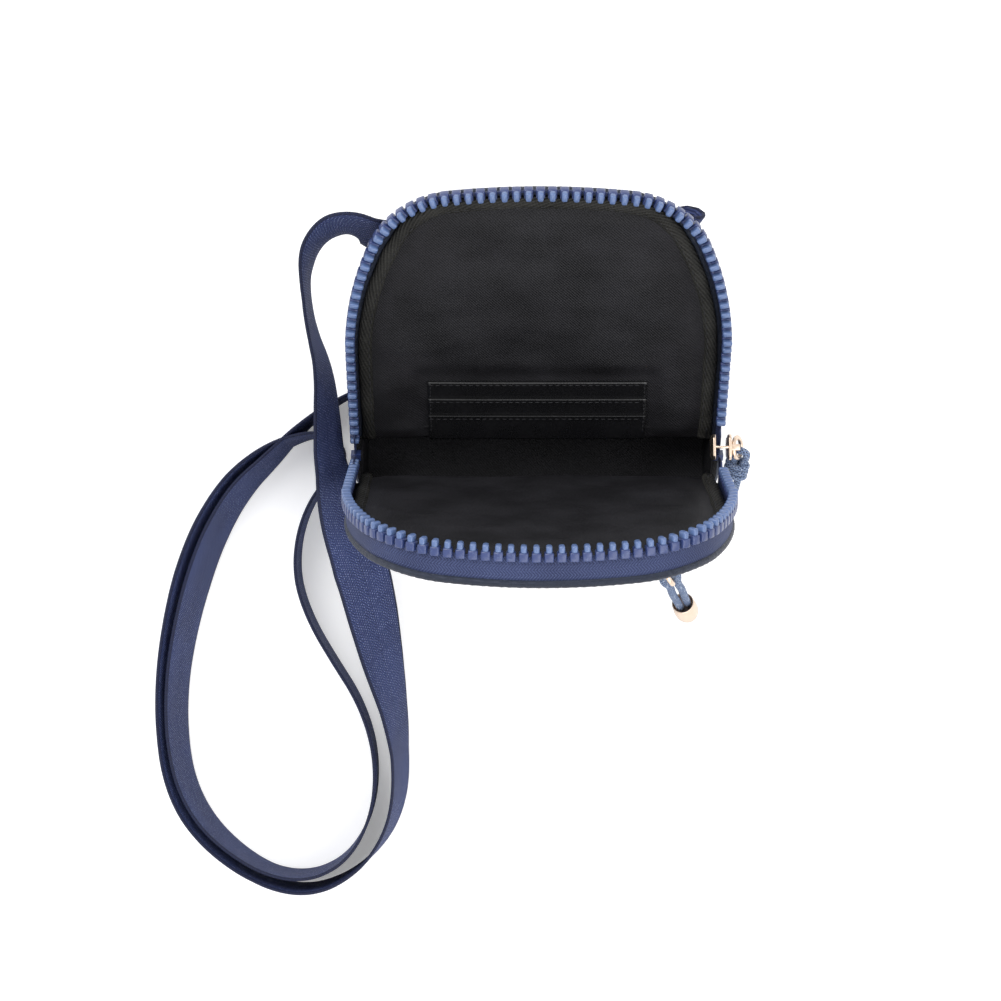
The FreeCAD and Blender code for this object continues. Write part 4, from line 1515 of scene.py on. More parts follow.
# ---- lower part ------------------------------------------------------------------
@dataclass
class Tub:
    """Soft lower part below the hinge.

    Attributes:
        half_width: outer half width.
        half_depth: outer half depth.
        corner: radius of the upright corners.
        foot: radius of the rounded foot.
        apex: height of the walls at the hinge line.
        slope_back: degrees that the back top slopes down.
        slope_front: degrees that the front top slopes down.
        girth: length of cloth round the walls.
    """

    half_width: float = 75.05 * MM
    half_depth: float = 15 * MM
    corner: float = 7 * MM
    foot: float = 3.5 * MM
    apex: float = 42.7 * MM
    slope_back: float = 54.0
    slope_front: float = 43.0
    girth: float = 0.34

    def top(self, y: float) -> float:
        """Height of the wall's top edge.

        Args:
            y: place across the bag.

        Returns:
            The height.
        """
        slope = self.slope_back if y > 0 else self.slope_front
        return self.apex - abs(y) * math.tan(math.radians(slope))

    def ring(self, inset: float, count: int = 160) -> List[Pair]:
        """Outline of the tub from above.

        Args:
            inset: distance inside the outer face.
            count: number of points.

        Returns:
            The points, all the way round.
        """
        x, y = self.half_width - inset, self.half_depth - inset
        r = max(self.corner - inset, 0.8 * MM)
        straight_x, straight_y = 2 * (x - r), 2 * (y - r)
        bend = math.pi / 2 * r
        points = []
        for k in range(count):
            left = k / count * (2 * straight_x + 2 * straight_y + 4 * bend)
            place, way = Vector((-x + r, -y)), 0.0
            for run in (straight_x, bend, straight_y, bend, straight_x, bend, straight_y, bend):
                part = min(left, run)
                left -= part
                if run == bend:
                    middle = place + Vector((-math.sin(way), math.cos(way))) * r
                    turn = part / r
                    spoke = place - middle
                    cos, sin = math.cos(turn), math.sin(turn)
                    place = middle + Vector((spoke.x * cos - spoke.y * sin,
                                             spoke.x * sin + spoke.y * cos))
                    way += turn
                else:
                    place = place + Vector((math.cos(way), math.sin(way))) * part
                if left <= 0:
                    break
            points.append((place.x, place.y))
        return points

    def rows(self, inset: float, soft: float) -> Tuple[Grid, Grid]:
        """Rows of points from the middle of the floor out and up the walls.

        Args:
            inset: distance inside the outer face.
            soft: height of the wall's soft swell.

        Returns:
            The points and their cloth coordinates.
        """
        places: Grid = []
        cloth: Grid = []
        outline = self.ring(inset)
        foot = max(self.foot - inset, 0.6 * MM)
        levels = [([(x * share, y * share) for x, y in outline], 0.0) for share in (0.02, 0.6)]
        for angle in (0, 22, 45, 67, 90):
            turn = math.radians(angle)
            levels.append((self.ring(inset + foot * (1 - math.sin(turn))),
                           foot * (1 - math.cos(turn))))
        for level, lift in levels:
            places.append([Vector((x, y, inset + lift)) for x, y in level])
            strip = [Vector((x, y, 0)) for x, y in level]
            cloth.append(strip + strip[:1])
        count = 14
        for j in range(1, count + 1):
            row, strip = [], []
            for i, (x, y) in enumerate(outline):
                low = inset + foot
                z = low + (self.top(y) - low) * j / count
                rise = math.sin(math.pi * min(j / count, 1.0))
                swell = soft * rise * (0.6 + 0.4 * crease(x + y, z, 19 * MM, 5.0))
                long_side = abs(x) < self.half_width - self.corner - inset
                way = (Vector((x * 0.08, y)) if long_side else Vector((x, y * 0.2))).normalized()
                row.append(Vector((x + way.x * swell, y + way.y * swell, z)))
                strip.append(Vector((i / len(outline) * self.girth, z, 0)))
            places.append(row)
            cloth.append(strip + [Vector((self.girth, strip[0].y, 0))])
        return places, cloth

    def skin(self, name: str, finish: Finish, inset: float, thick: float, soft: float,
             node: str) -> None:
        """Make one cloth layer of the tub.

        Args:
            name: name of the piece.
            finish: its finish.
            inset: distance of its outer face inside the tub's outer face.
            thick: thickness.
            soft: height of its soft swell.
            node: CAD node that it stands for.
        """
        outer, cloth = self.rows(inset, soft)
        inner, _ = self.rows(inset + thick, soft)
        maker = MeshMaker()
        a = maker.grid(outer, cloth, closed=True)
        b = maker.grid(inner, cloth, closed=True)
        wide = len(a[0])
        for k in range(wide):
            n = (k + 1) % wide
            maker.mesh.faces.new([a[-1][k], a[-1][n], b[-1][n], b[-1][k]])
        maker.mesh.faces.new(a[0])
        maker.mesh.faces.new(b[0])
        maker.object(name, finish, "root", node)

    def make(self) -> None:
        """Make the tub's layers and its foot piping."""
        self.skin("lower_cloth", Finish.NYLON, 0.0, 0.9 * MM, 0.9 * MM, "lower_shell")
        self.skin("lower_lining_cloth", Finish.LINING, 2.7 * MM, 0.7 * MM, -0.4 * MM,
                  "lower_lining")
        maker = MeshMaker()
        proud, height, radius = 0.25 * MM, 4.4 * MM, 0.75 * MM
        ring = [Vector((x, y, height)) for x, y in self.ring(-proud, 220)]
        maker.tube(ring + ring[:2], lambda s, t: radius, 8)
        maker.object("foot_piping", Finish.PIPING, "root")


@dataclass
class FoldCloth:
    """Cloth that carries on from the lower part to a half across the fold.

    Attributes:
        half: which half.
        tub: the lower part.
        columns: quads across.
        corner: width of the part that rounds a corner of the tub.
        tuck: how far its ends draw in there.
    """

    half: Half
    tub: Tub
    columns: int = 110
    corner: float = 6 * MM
    tuck: float = 5.2 * MM

    def make(self, name: str, finish: Finish, wall: float, panel: float, thick: float,
             puff: float, half_width: float) -> None:
        """Make one layer.

        Args:
            name: name of the piece.
            finish: its finish.
            wall: distance of its lower edge from the seam plane.
            panel: depth of its upper edge in the half.
            thick: thickness, negative for a layer on the inside.
            puff: how far its middle swells.
            half_width: half its width.
        """
        fold = self.half.fold
        rows = 12
        outer: Grid = []
        inner: Grid = []
        cloth: Grid = []
        for r in range(rows + 1):
            t = r / rows
            row_a, row_b, strip = [], [], []
            for c in range(self.columns + 1):
                x = half_width * (2 * c / self.columns - 1)
                past = max(abs(x) - (half_width - self.corner), 0.0) / self.corner
                tuck = self.tuck * (1 - math.sqrt(max(1 - past * past, 0.0)))
                y = wall - tuck
                z = self.tub.top(fold.sign * y)
                a = Vector((x, fold.sign * y, z - 4 * MM))
                b = Vector((x, fold.sign * y, z + 1 * MM))
                up = panel - tuck * 0.4
                e = fold.flat(x, up, 0.6 * MM)
                f = fold.flat(x, up, 6 * MM)
                ripple = crease(x, t * 12 * MM, 14 * MM, 77.0 + fold.sign)
                swell = puff * (1 + 0.35 * ripple) * math.sin(math.pi * t) ** 2
                out = Vector((0, fold.sign, 0.15)) * swell
                share = smooth(0.0, 1.0, t)
                first = a.lerp(b, min(t * 1.6, 1.0))
                last = e.lerp(f, max((t - 0.375) * 1.6, 0.0))
                place = first.lerp(last, share) + out
                row_a.append(place)
                row_b.append(place - Vector((0, fold.sign * thick, 0.2 * thick)))
                strip.append(Vector((x, t * 20 * MM, 0)))
            outer.append(row_a)
            inner.append(row_b)
            cloth.append(strip)
        maker = MeshMaker()
        maker.shell(outer, inner, cloth)
        made = maker.object(name, finish, "")
        middle = wall * fold.sign
        low = Vector((0, middle, self.tub.top(middle) - 3 * MM))
        tuple(fold.flat(0, panel, 5 * MM))
        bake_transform(made)


# ---- strap -----------------------------------------------------------------------
# corners of the webbing's section, as shares of its width and thickness
WEBBING_SECTION = [
    (-0.5, -0.32), (-0.5, 0.32), (-0.47, 0.5), (-0.25, 0.5), (0.0, 0.42), (0.25, 0.5),
    (0.47, 0.5), (0.5, 0.32), (0.5, -0.32), (0.47, -0.5), (0.25, -0.5), (0.0, -0.42),
    (-0.25, -0.5), (-0.47, -0.5),
]


@dataclass
class Strap:
    """Long flat webbing whose two ends are sewn to the back.

    Attributes:
        route: x, y, z and lean from upright, in metres and degrees.
        width: width of the webbing.
        thick: thickness.
        length: real length between the two tabs; not used.
        sway: height of its soft waves.
        sway_length: length of one wave.
    """

    route: List[Tuple[float, float, float, float]]
    width: float = STRAP_WIDTH
    thick: float = 1.3 * MM
    length: float = 1.26
    sway: float = 0.25 * MM
    sway_length: float = 0.021

    def line(self) -> List[Vector]:
        """Points read from the route's smooth spline.

        Returns:
            The points.
        """
        return spline_points([Vector(p[:3]) for p in self.route], 8)

    def lean_at(self, share: float) -> float:
        """Lean of the webbing from upright.

        Args:
            share: place along the spline, from 0 to 1.

        Returns:
            The lean in radians.
        """
        last = len(self.route) - 1
        spans = last - 1
        t = share * spans
        if t < spans / 2:
            place = min(max(2 * t, 0.0), t + 0.5)
        else:
            place = max(last - 2 * (spans - t), t + 0.5)
        low = min(int(place), last - 1)
        near, far = self.route[low][3], self.route[low + 1][3]
        return math.radians(near + (far - near) * (place - low))

    def make(self) -> None:
        """Make the webbing."""
        path = self.line()
        maker = MeshMaker()
        rows: Grid = []
        cloth: Grid = []
        travelled = 0.0
        for k, point in enumerate(path):
            way = path[min(k + 1, len(path) - 1)] - path[max(k - 1, 0)]
            way = Vector((-1, 0, 0)) if k in (0, len(path) - 1) else way.normalized()
            side = way.cross(Vector((0, 0, 1))).normalized()
            rise = side.cross(way).normalized()
            lean = self.lean_at(k / (len(path) - 1))
            wide = rise * math.cos(lean) + side * math.sin(lean)
            thick = wide.cross(way).normalized()
            if k:
                travelled += (point - path[k - 1]).length
            sway = self.sway * noise.noise(Vector((travelled / self.sway_length, 0, 3)))
            rows.append([point + wide * (a * self.width)
                         + thick * (b * self.thick + sway * (1 - 4 * a * a))
                         for a, b in WEBBING_SECTION])
            strip = [Vector(((a + 0.5) * self.width, travelled, 0)) for a, _ in WEBBING_SECTION]
            cloth.append(strip + strip[:1])
        made_rows = maker.grid(rows, cloth, closed=True)
        maker.mesh.faces.new(made_rows[0][::-1])
        maker.mesh.faces.new(made_rows[-1])
        made = maker.object("strap_weave", Finish.WEBBING, "", "strap_webbing")
        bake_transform(made)


def spline_points(points: Sequence[Vector], steps: int) -> List[Vector]:
    """Points read from a smooth spline.

    Args:
        points: its control points.
        steps: points for each span.

    Returns:
        The points along it.
    """
    curve = bpy.data.curves.new("route", "CURVE")
    curve.dimensions = "3D"
    spline = curve.splines.new("NURBS")
    spline.points.add(len(points) - 1)
    for made, point in zip(spline.points, points):
        made.co = (*point, 1.0)
    spline.order_u = 3
    spline.use_endpoint_u = True
    spline.resolution_u = steps
    holder = bpy.data.objects.new("route", curve)
    bpy.context.scene.collection.objects.link(holder)
    bpy.context.view_layer.update()
    mesh = bpy.data.meshes.new_from_object(holder)
    line = [v.co.copy() for v in mesh.vertices]
    bpy.data.meshes.remove(mesh)
    bpy.data.objects.remove(holder)
    bpy.data.curves.remove(curve)
    return line


# corners of a tab's section, as shares of its length and thickness
TAB_SECTION = [
    (0.0, 0.0), (0.0, 0.75), (0.12, 0.95), (0.5, 1.0), (0.85, 1.0), (0.97, 0.9), (1.0, 0.6),
    (1.0, 0.4), (0.97, 0.1), (0.85, 0.0), (0.5, 0.0),
]


@dataclass
class StrapTab:
    """Folded end of the webbing, sewn flat on the back panel with a crossed box.

    Attributes:
        side: -1 for the left, 1 for the right.
        inner: nearer edge across.
        outer: farther edge across.
        rise: middle height above the hinge.
        width: width of the webbing.
        face: depth of the panel's face.
        thick: thickness of the folded webbing.
    """

    side: float
    inner: float = 30 * MM
    outer: float = 50 * MM
    rise: float = 92 * MM
    width: float = STRAP_WIDTH
    face: float = 15.1 * MM
    thick: float = 2.4 * MM

    def make(self, fold: Fold) -> None:
        """Make the tab and its stitching.

        Args:
            fold: fold of the back half.
        """
        name = "left" if self.side < 0 else "right"
        maker = MeshMaker()
        rows: Grid = []
        cloth: Grid = []
        reach = self.outer - self.inner
        for r in range(17):
            across = self.width * r / 16
            row, strip = [], []
            for a, b in TAB_SECTION:
                x = self.side * (self.inner + reach * a)
                press = 0.22 * smooth(0.2, 0.5, a) * smooth(1.0, 0.7, a) if b > 0.5 else 0.0
                row.append(fold.flat(x, self.face + self.thick * b * (1 - press),
                                     self.rise - self.width / 2 + across))
                strip.append(Vector((across, reach * a, 0)))
            rows.append(row)
            cloth.append(strip + strip[:1])
        made = maker.grid(rows, cloth, closed=True)
        maker.mesh.faces.new(made[0][::-1])
        maker.mesh.faces.new(made[-1])
        maker.object("strap_tab_%s_weave" % name, Finish.WEBBING, "back_half", "strap_tab_" + name)
        maker = MeshMaker()
        x0, x1 = self.side * (self.inner + 3 * MM), self.side * (self.outer - 4 * MM)
        h0, h1 = self.rise - 10 * MM, self.rise + 10 * MM
        d = self.face + self.thick * 0.86
        out = (fold.flat(0, 1.0, 0) - fold.flat(0, 0.0, 0)).normalized()
        corners = [(x0, h0), (x1, h0), (x1, h1), (x0, h1),
                   (x0, h0), (x1, h1), (x1, h0), (x0, h1)]
        for (xa, ha), (xb, hb) in zip(corners, corners[1:]):
            line = [(fold.flat(xa + (xb - xa) * k / 8, d, ha + (hb - ha) * k / 8), out)
                    for k in range(9)]
            stitches(maker, line, 1.7 * MM, 0.6 * MM, 0.45 * MM)
        maker.object("strap_tab_%s_stitches" % name, Finish.NAVY_THREAD, "back_half")


# ---- sliders, cord loops and bell caps -------------------------------------------
@dataclass
class SliderBody:
    """Two plates on a wedge, with a bail outside.

    Attributes:
        name: name of the piece.
        node: CAD node that it stands for.
        body: body that it rides on.
        base: placement of its middle: x across the zip's plane, y along, z outward.
        outline: corners of a plate, in mm.
        plates: (start, thickness) of each plate along z, in mm.
        post: middle and size of the wedge, in mm.
        bail: start of the bail along z, in mm.
        bail_way: 0 when the bail bridges along x, 1 when along y.
        bail_length: length of the bail, in mm.
        bail_rise: its height, in mm.
        bail_wide: its width, in mm.
        bar: thickness of its bar, in mm.
        leg: thickness of its legs, in mm.
    """

    name: str
    node: str
    body: str
    base: Matrix
    outline: Sequence[Pair]
    plates: Sequence[Pair]
    post: Tuple[Vector, Vector]
    bail: float
    bail_way: int
    bail_length: float = 6.4
    bail_rise: float = 3.9
    bail_wide: float = 2.6
    bar: float = 1.2
    leg: float = 1.8

    def make(self) -> None:
        """Make the slider."""
        maker = MeshMaker()
        outline = [(x * MM, y * MM) for x, y in self.outline]
        for start, thick in self.plates:
            place = self.base @ Matrix.Translation((0, 0, start * MM))
            maker.plate(outline, thick * MM, place, 0.28 * MM)
        middle, size = self.post
        maker.block(self.base @ Matrix.Translation(middle * MM), size * MM, 0.12 * MM)
        turn = Matrix.Rotation(math.pi / 2 * self.bail_way, 4, "Z")
        bail = self.base @ Matrix.Translation((0, 0, self.bail * MM)) @ turn
        reach = (self.bail_length - self.leg) / 2
        for side in (-1, 1):
            foot = Matrix.Translation(Vector((side * reach, 0, self.bail_rise / 2 - 0.1)) * MM)
            size = Vector((self.leg, self.bail_wide, self.bail_rise))
            maker.block(bail @ foot, size * MM, 0.5 * MM, 3)
        top = Matrix.Translation(Vector((0, 0, self.bail_rise - self.bar / 2 - 0.05)) * MM)
        size = Vector((self.bail_length - 0.5, self.bail_wide, self.bar))
        maker.block(bail @ top, size * MM, 0.45 * MM, 3)
        maker.object(self.name + "_body", Finish.GOLD, self.body, self.node)


# (radius, height) down the bell cap from the floor of its mouth to its tip, in mm
BELL_CAP = [
    (0.0, 3.1), (2.6, 3.0), (3.45, 2.4), (3.62, 0.5), (3.75, 0.06), (3.92, 0.0), (4.12, 0.1),
    (4.24, 0.5), (4.22, 1.0), (4.12, 1.4), (4.26, 1.9), (4.42, 3.2), (4.55, 4.8), (4.6, 6.2),
    (4.55, 7.6), (4.36, 9.0), (4.0, 10.3), (3.4, 11.4), (2.6, 12.25), (1.7, 12.75),
    (0.8, 12.96), (0.0, 13.0),
]


@dataclass
class PullCord:
    """Loop of braided cord through a ring, with its ends in a bell cap.

    Attributes:
        name: main or pocket.
        pivot: where the ring hangs.
        ring_way: direction from the pivot to the ring's middle.
        ring_axis: direction square to the ring.
        pull_way: direction from the ring to the cap.
        loop: ring to the cap's mouth.
        cord: radius of the cord.
        ring: radius of the ring's middle line.
        wire: radius of the ring's wire.
        slack: space between the ring's wire and the cord.
        grip: half the spacing of the two strands in the cap.
        belly: how much the strands part halfway.
        lay: length of one diamond of the braid.
        wraps: turns of the hitch below the ring.
        hitch_start: ring to the hitch's first turn.
    """

    name: str
    pivot: Vector
    ring_way: Vector
    ring_axis: Vector
    pull_way: Vector
    loop: float
    cord: float = 1.5 * MM
    ring: float = 4.2 * MM
    wire: float = 0.9 * MM
    slack: float = 0.35 * MM
    grip: float = 1.6 * MM
    belly: float = 0.4 * MM
    lay: float = 1.5 * MM
    wraps: int = 0
    hitch_start: float = 5.0 * MM

    def braid(self, travelled: float, turn: float) -> float:
        """Radius of the cord, which its strands raise.

        Args:
            travelled: distance along the cord.
            turn: place round it, in turns.

        Returns:
            The radius.
        """
        left = math.sin(math.tau * (6 * turn + travelled / self.lay))
        right = math.sin(math.tau * (6 * turn - travelled / self.lay))
        return self.cord * (0.955 + 0.055 * max(left, right))

    def make(self) -> None:
        """Make the braid with its hitch below the ring, and its cap."""
        middle = self.pivot + self.ring_way * self.ring
        outward = (self.pull_way - self.ring_axis * self.pull_way.dot(self.ring_axis)).normalized()
        hook = middle + outward * self.ring
        across = self.ring_axis.cross(outward).cross(self.pull_way).normalized()
        bend = self.cord + self.wire + self.slack
        mouth = hook + self.pull_way * self.loop
        shape = [(bend * 0.98, -bend), (bend, 1.5 * MM), (self.grip + 0.1 * MM, 4.6 * MM),
                 (self.grip, 8.5 * MM), (self.grip + self.belly, self.loop * 0.5),
                 (self.grip, self.loop * 0.88), (self.grip, self.loop + 2.4 * MM)]
        one = [hook + across * a + self.pull_way * b for a, b in reversed(shape)]
        two = [hook - across * a + self.pull_way * b for a, b in shape]
        path = spline_points(one + two, 24)
        maker = MeshMaker()
        fine = [path[0]]
        for a, b in zip(path, path[1:]):
            steps = max(1, round((b - a).length / (0.22 * MM)))
            fine += [a.lerp(b, k / steps) for k in range(1, steps + 1)]
        maker.tube(fine, self.braid, 24)
        cord = maker.object(self.name + "_pull_braid", Finish.BRAID, self.name + "_pull",
                            self.name + "_pull_cord")
        pieces = [self.hitch(hook, across)] if self.wraps else []
        maker = MeshMaker()
        profile = [(r * MM, z * MM) for r, z in BELL_CAP]
        maker.lathe(profile, look(self.pull_way, mouth, across), 48)
        cap = maker.object(self.name + "_bell_cap", Finish.GOLD, self.name + "_pull",
                           self.name + "_pull_cap")
        length = sum((b - a).length for a, b in zip(path, path[1:]))
        2 * self.cord

    def hitch(self, hook: Vector, across: Vector) -> bpy.types.Object:
        """Make the turns of cord that hold both strands together below the ring.

        Args:
            hook: where the loop passes the ring.
            across: direction from one strand to the other.

        Returns:
            The hitch.
        """
        maker = MeshMaker()
        facing = across.cross(self.pull_way).normalized()
        wide, deep = self.grip + 1.55 * self.cord, 1.6 * self.cord
        angles = [math.tau * k / 40 for k in range(42)]
        for turn in range(self.wraps):
            centre = hook + self.pull_way * (self.hitch_start + turn * 1.95 * self.cord)
            wrap = [centre + across * (wide * math.cos(a)) + facing * (deep * math.sin(a))
                    for a in angles]
            maker.tube(wrap, lambda s, t: self.braid(s, t) * 0.85, 18)
        return maker.object(self.name + "_pull_hitch", Finish.BRAID, self.name + "_pull")


def make_main_pull() -> None:
    """Cord and cap on the main slider."""
    pivot = Vector((79.75, 3.0, 49.6)) * MM
    tail = Vector((78.5, -30.0, 5.0)) * MM
    swing = math.radians(28.0)
    ring_way = Vector((math.sin(swing), 0, -math.cos(swing)))
    ring_axis = Vector((math.cos(swing), 0, math.sin(swing)))
    pull_way = (tail - (pivot + ring_way * 2 * PullCord.ring)).normalized()
    PullCord("main", pivot, ring_way, ring_axis, pull_way, 36 * MM, wraps=3).make()


def make_pocket_pull() -> None:
    """Cord and cap on the slider of the pocket's zip."""
    pivot = Vector((44.0, -42.2506, 132.1008)) * MM
    turn = math.radians(32.0)
    droop = math.radians(60.0)
    lean = Matrix.Rotation(math.radians(Half.FRONT.fold.lean), 3, "X")
    straight = Vector((math.sin(turn), -math.cos(turn), 0))
    ring_axis = Vector((math.cos(turn), math.sin(turn), 0))
    pull_way = straight * math.cos(droop) - Vector((0, 0, math.sin(droop)))
    PullCord("pocket", pivot, lean @ straight, lean @ ring_axis, pull_way, 24 * MM).make()


def make_main_slider() -> None:
    """Slider parked at the right end of the main zip."""
    half = [(2.8, -6.5), (4.0, -5.3), (4.2, -2.5), (5.2, 0.65), (5.2, 5.0), (3.7, 6.5)]
    outline = half + [(-x, y) for x, y in reversed(half)]
    middle = Matrix.Translation(Vector((74.6, 3.0, 49.6)) * MM)
    outward = Matrix(((0, 0, 1), (1, 0, 0), (0, 1, 0))).to_4x4()
    SliderBody("main_slider", "main_slider", "main_slider", middle @ outward, outline,
               [(-3.8, 1.2), (2.6, 1.2)], (Vector((0, 3.5, 0)), Vector((0.9, 5.0, 5.6))),
               3.8, 1).make()


def make_pocket_slider() -> None:
    """Slider of the pocket's zip."""
    fold = Half.FRONT.fold
    half = [(-4.6, 2.8), (-3.4, 3.8), (1.0, 4.2), (3.6, 4.2), (4.6, 3.2)]
    outline = half + [(x, -y) for x, y in reversed(half)]
    middle = Matrix.Translation(fold.flat(44 * MM, 0, POCKET_ZIP_RISE))
    outward = Matrix.Rotation(math.radians(90 + fold.lean), 4, "X")
    SliderBody("pocket_slider", "pocket_slider", "pocket_slider", middle @ outward, outline,
               [(12.4, 0.8), (15.3, 1.1)], (Vector((3.1, 0, 14.3)), Vector((2.0, 0.5, 2.6))),
               16.4, 0).make()


# ---- studio ----------------------------------------------------------------------
@dataclass
class Studio:
    """Camera overhead, pale floor and soft lights.

    Attributes:
        eye: place of the camera, which looks straight down.
        lens: focal length in millimetres.
        aim: height of the point that the lights face.
        floor_size: side of the floor.
        floor_glow: light that the floor adds where it is seen directly.
    """

    eye: Tuple[float, float, float] = (-0.015, -0.0186, 0.9)
    lens: float = 75.2
    aim: float = 0.05
    floor_size: float = 60.0
    floor_glow: float = 0.24

    def make_camera(self) -> None:
        """Make the camera."""
        data = bpy.data.cameras.new("overhead")
        data.lens = self.lens
        data.sensor_width = 36.0
        camera = bpy.data.objects.new("overhead", data)
        camera.location = self.eye
        bpy.context.scene.collection.objects.link(camera)
        bpy.context.scene.camera = camera

    def make_floor(self) -> None:
        """Make the plain pale floor."""
        bpy.ops.mesh.primitive_plane_add(size=self.floor_size, location=(0, 0, -0.4 * MM))
        floor = bpy.context.object
        floor.name = "floor"
        g = Graph("pale_floor")
        cloud = g.grain(Space.OBJECT, 60.0)
        seen = g.add("ShaderNodeLightPath").outputs["Is Camera Ray"]
        glow = g.mix(seen, (0.0, 0.0, 0.0), (self.floor_glow,) * 3)
        floor.data.materials.append(g.finish((0.96, 0.96, 0.96), cloud * 0.05 + 0.75, cloud, 0.0,
                                             Emission_Color=glow, Emission_Strength=1.0))

    def light(self, name: str, place: Tuple[float, float, float], size: float, power: float,
              tint: Rgb = (1.0, 1.0, 1.0)) -> None:
        """Add a soft light that points at the bag.

        Args:
            name: name of the light.
            place: its place.
            size: side of its square.
            power: its power in watts.
            tint: its colour.
        """
        data = bpy.data.lights.new(name, "AREA")
        data.size = size
        data.energy = power
        data.color = tint
        lamp = bpy.data.objects.new(name, data)
        lamp.location = place
        way = Vector((0, 0, self.aim)) - Vector(place)
        lamp.rotation_euler = way.to_track_quat("-Z", "Y").to_euler()
        bpy.context.scene.collection.objects.link(lamp)

    def make_world(self, white: float, ambient: float) -> None:
        """White background that lights the bag softly.

        Args:
            white: brightness that the camera and mirror rays see.
            ambient: brightness that lights matt surfaces.
        """
        world = bpy.data.worlds.new("studio")
        bpy.context.scene.world = world
        world.use_nodes = True
        tree = world.node_tree
        tree.nodes.clear()
        out = tree.nodes.new("ShaderNodeOutputWorld")
        mix = tree.nodes.new("ShaderNodeMixShader")
        ray = tree.nodes.new("ShaderNodeLightPath")
        seen = ray.outputs["Is Camera Ray"]
        for kind in ("Is Glossy Ray", "Is Transmission Ray"):
            either = tree.nodes.new("ShaderNodeMath")
            either.operation = "MAXIMUM"
            tree.links.new(seen, either.inputs[0])
            tree.links.new(ray.outputs[kind], either.inputs[1])
            seen = either.outputs[0]
        tree.links.new(seen, mix.inputs[0])
        for entry, strength in ((1, ambient), (2, white)):
            shade = tree.nodes.new("ShaderNodeBackground")
            shade.inputs["Color"].default_value = (1, 1, 1, 1)
            shade.inputs["Strength"].default_value = strength
            tree.links.new(shade.outputs[0], mix.inputs[entry])
        tree.links.new(mix.outputs[0], out.inputs["Surface"])

    def make_lights(self) -> None:
        """Make the lights and the world."""
        self.light("key", (-0.7, 0.9, 1.5), 1.2, 22.0)
        self.light("fill", (0.9, -0.6, 1.4), 1.4, 13.0)
        self.light("front", (0.1, -1.3, 0.9), 1.0, 7.0)
        self.make_world(1.0, 0.74)
        bpy.context.scene.view_settings.view_transform = "Standard"


def finish_cad_nodes() -> None:
    """Give the CAD nodes that stay their finishes."""
    for node, finish in (("lower_padding", Finish.FOAM), ("base_board", Finish.BOARD),
                         ("zip_stop_left", Finish.TEETH), ("zip_stop_right", Finish.TEETH),
                         ("main_ring", Finish.GOLD), ("pocket_ring", Finish.GOLD)):
        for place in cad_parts[node].material_slots:
            place.material = finish.material
        LOG.info("%s keeps its CAD form", node)


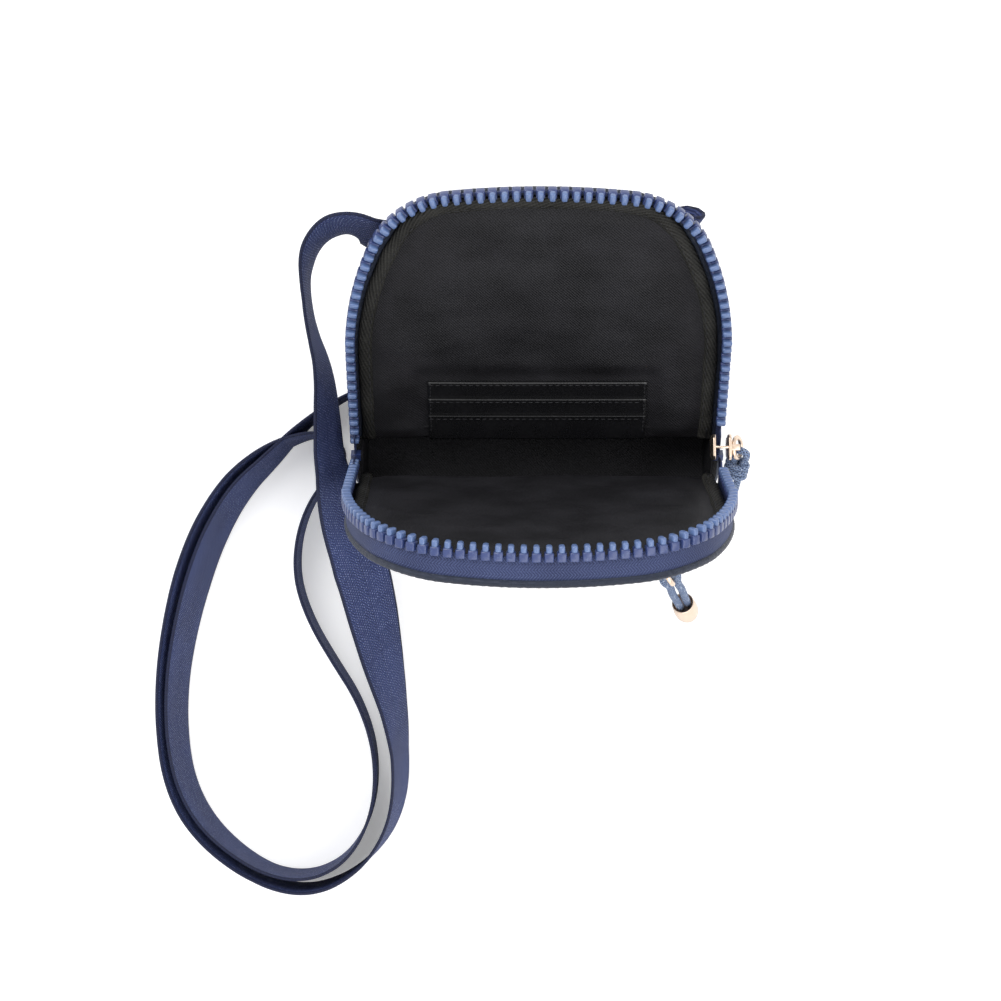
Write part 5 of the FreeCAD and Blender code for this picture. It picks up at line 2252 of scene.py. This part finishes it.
# x, y, z and lean of the webbing, in mm and degrees from upright
STRAP_ROUTE = [
    (-50, 81.8, 88.2, 51), (-62, 83.5, 89, 23), (-71, 88, 90.5, 17), (-81, 87.5, 86, 11),
    (-89.5, 80, 79, 6), (-92.5, 66, 71, 0), (-91, 50, 63, 4), (-86.5, 34, 57, 12),
    (-85.5, 16, 52, 19), (-85, -4, 45.5, 25), (-80.5, -25, 37, 46), (-73, -46, 29, 64),
    (-68.5, -66, 23, 54), (-64.5, -86, 18, 40), (-60, -106, 14.5, 24), (-57.5, -125, 12.9, 14),
    (-57.5, -143, 12.8, 12), (-62, -159, 12.7, 8), (-72.5, -173, 12.7, 3), (-87, -182, 12.7, 0),
    (-102, -184, 12.7, 0), (-119, -178.5, 12.7, 0), (-136, -166, 12.7, -4),
    (-148, -151, 12.7, -8), (-154.5, -133, 12.7, -11), (-156.5, -111, 12.7, -13),
    (-156, -91, 12.7, -14), (-153, -71, 12.7, -16), (-148, -50, 12.7, -18),
    (-140, -29, 12.7, -18), (-128, -10, 12.7, -16), (-113, 3, 12.7, -10), (-97, 9.5, 12.7, -4),
    (-86, 9, 12.7, 0), (-80.5, 0.5, 12.7, 0), (-86.5, -8.5, 12.7, 0), (-94, -17, 12.7, 0),
    (-99.5, -30, 12.7, 0), (-101.5, -44, 12.7, 0), (-100, -57, 12.7, 0), (-94, -72, 12.7, 0),
    (-85, -87, 12.7, 0), (-76, -101, 12.7, 0), (-70, -116, 12.7, 0), (-67.5, -131, 12.7, 0),
    (-68.5, -147, 12.7, 0), (-74, -162, 12.7, 0), (-83, -172.5, 12.7, 0), (-96, -178, 12.7, 0),
    (-111, -176.5, 12.7, 0), (-126, -168, 12.7, -3), (-140, -155, 12.7, -7),
    (-149, -138, 12.7, -10), (-152.5, -118, 12.7, -12.5), (-152.5, -97, 12.7, -14),
    (-149.5, -76, 12.7, -16), (-144, -54, 12.7, -18), (-136.5, -33, 12.7, -18),
    (-125.5, -14, 12.7, -16), (-112, -1, 12.7, -11), (-98, 14, 12.7, -4), (-82, 25, 12.7, 0),
    (-62, 33, 12.7, 0), (-43, 41, 12.8, -3), (-27, 48, 14.2, -11), (-13, 55.5, 18.5, -20),
    (0, 62.5, 26.5, -38), (13, 68.9, 35.8, -57), (25, 74.6, 49.4, -68), (36, 79.4, 61, -70),
    (46, 83.2, 70.5, -66), (54.5, 85.1, 77.8, -63), (58.5, 84.3, 83.6, -23),
    (56, 82.3, 87.5, 49), (50, 81.8, 88.2, 51),
]


def main() -> None:
    """Build the bag and its studio."""
    logging.basicConfig(level=logging.INFO, format="%(message)s")
    studio = Studio()
    studio.make_camera()
    Strap([(x * MM, y * MM, z * MM, lean) for x, y, z, lean in STRAP_ROUTE]).make()
    make_main_pull()
    make_pocket_pull()
    make_main_slider()
    make_pocket_slider()
    tub = Tub()
    tub.make()
    back = HalfShell(Half.BACK, 1.6 * MM)
    front = HalfShell(Half.FRONT, 1.2 * MM, 2.8 * MM)
    for shell, phase in ((back, 0.0), (front, 0.5)):
        shell.make_panel()
        shell.make_padding()
        shell.make_edges()
        shell.make_tape()
        shell.make_teeth(phase, ToothForm())
        across_fold = FoldCloth(shell.half, tub)
        across_fold.make(shell.half.value + "_fold_cloth", Finish.NYLON, 15.2 * MM, 15.4 * MM,
                         0.8 * MM, 2.2 * MM, 73.6 * MM)
        across_fold.make(shell.half.value + "_fold_lining", Finish.LINING, 11.2 * MM,
                         shell.face - 0.3 * MM, -0.6 * MM, 0.3 * MM, 70.0 * MM)
    back.make_lining((45 * MM, 31 * MM))
    front.make_lining((0.0, 0.0))
    CardSlips(back.face).make(back.fold)
    FrontPocket(front).make()
    for side in (-1, 1):
        StrapTab(side).make(back.fold)
    finish_cad_nodes()
    studio.make_floor()
    studio.make_lights()


if __name__ == "__main__":
    main()
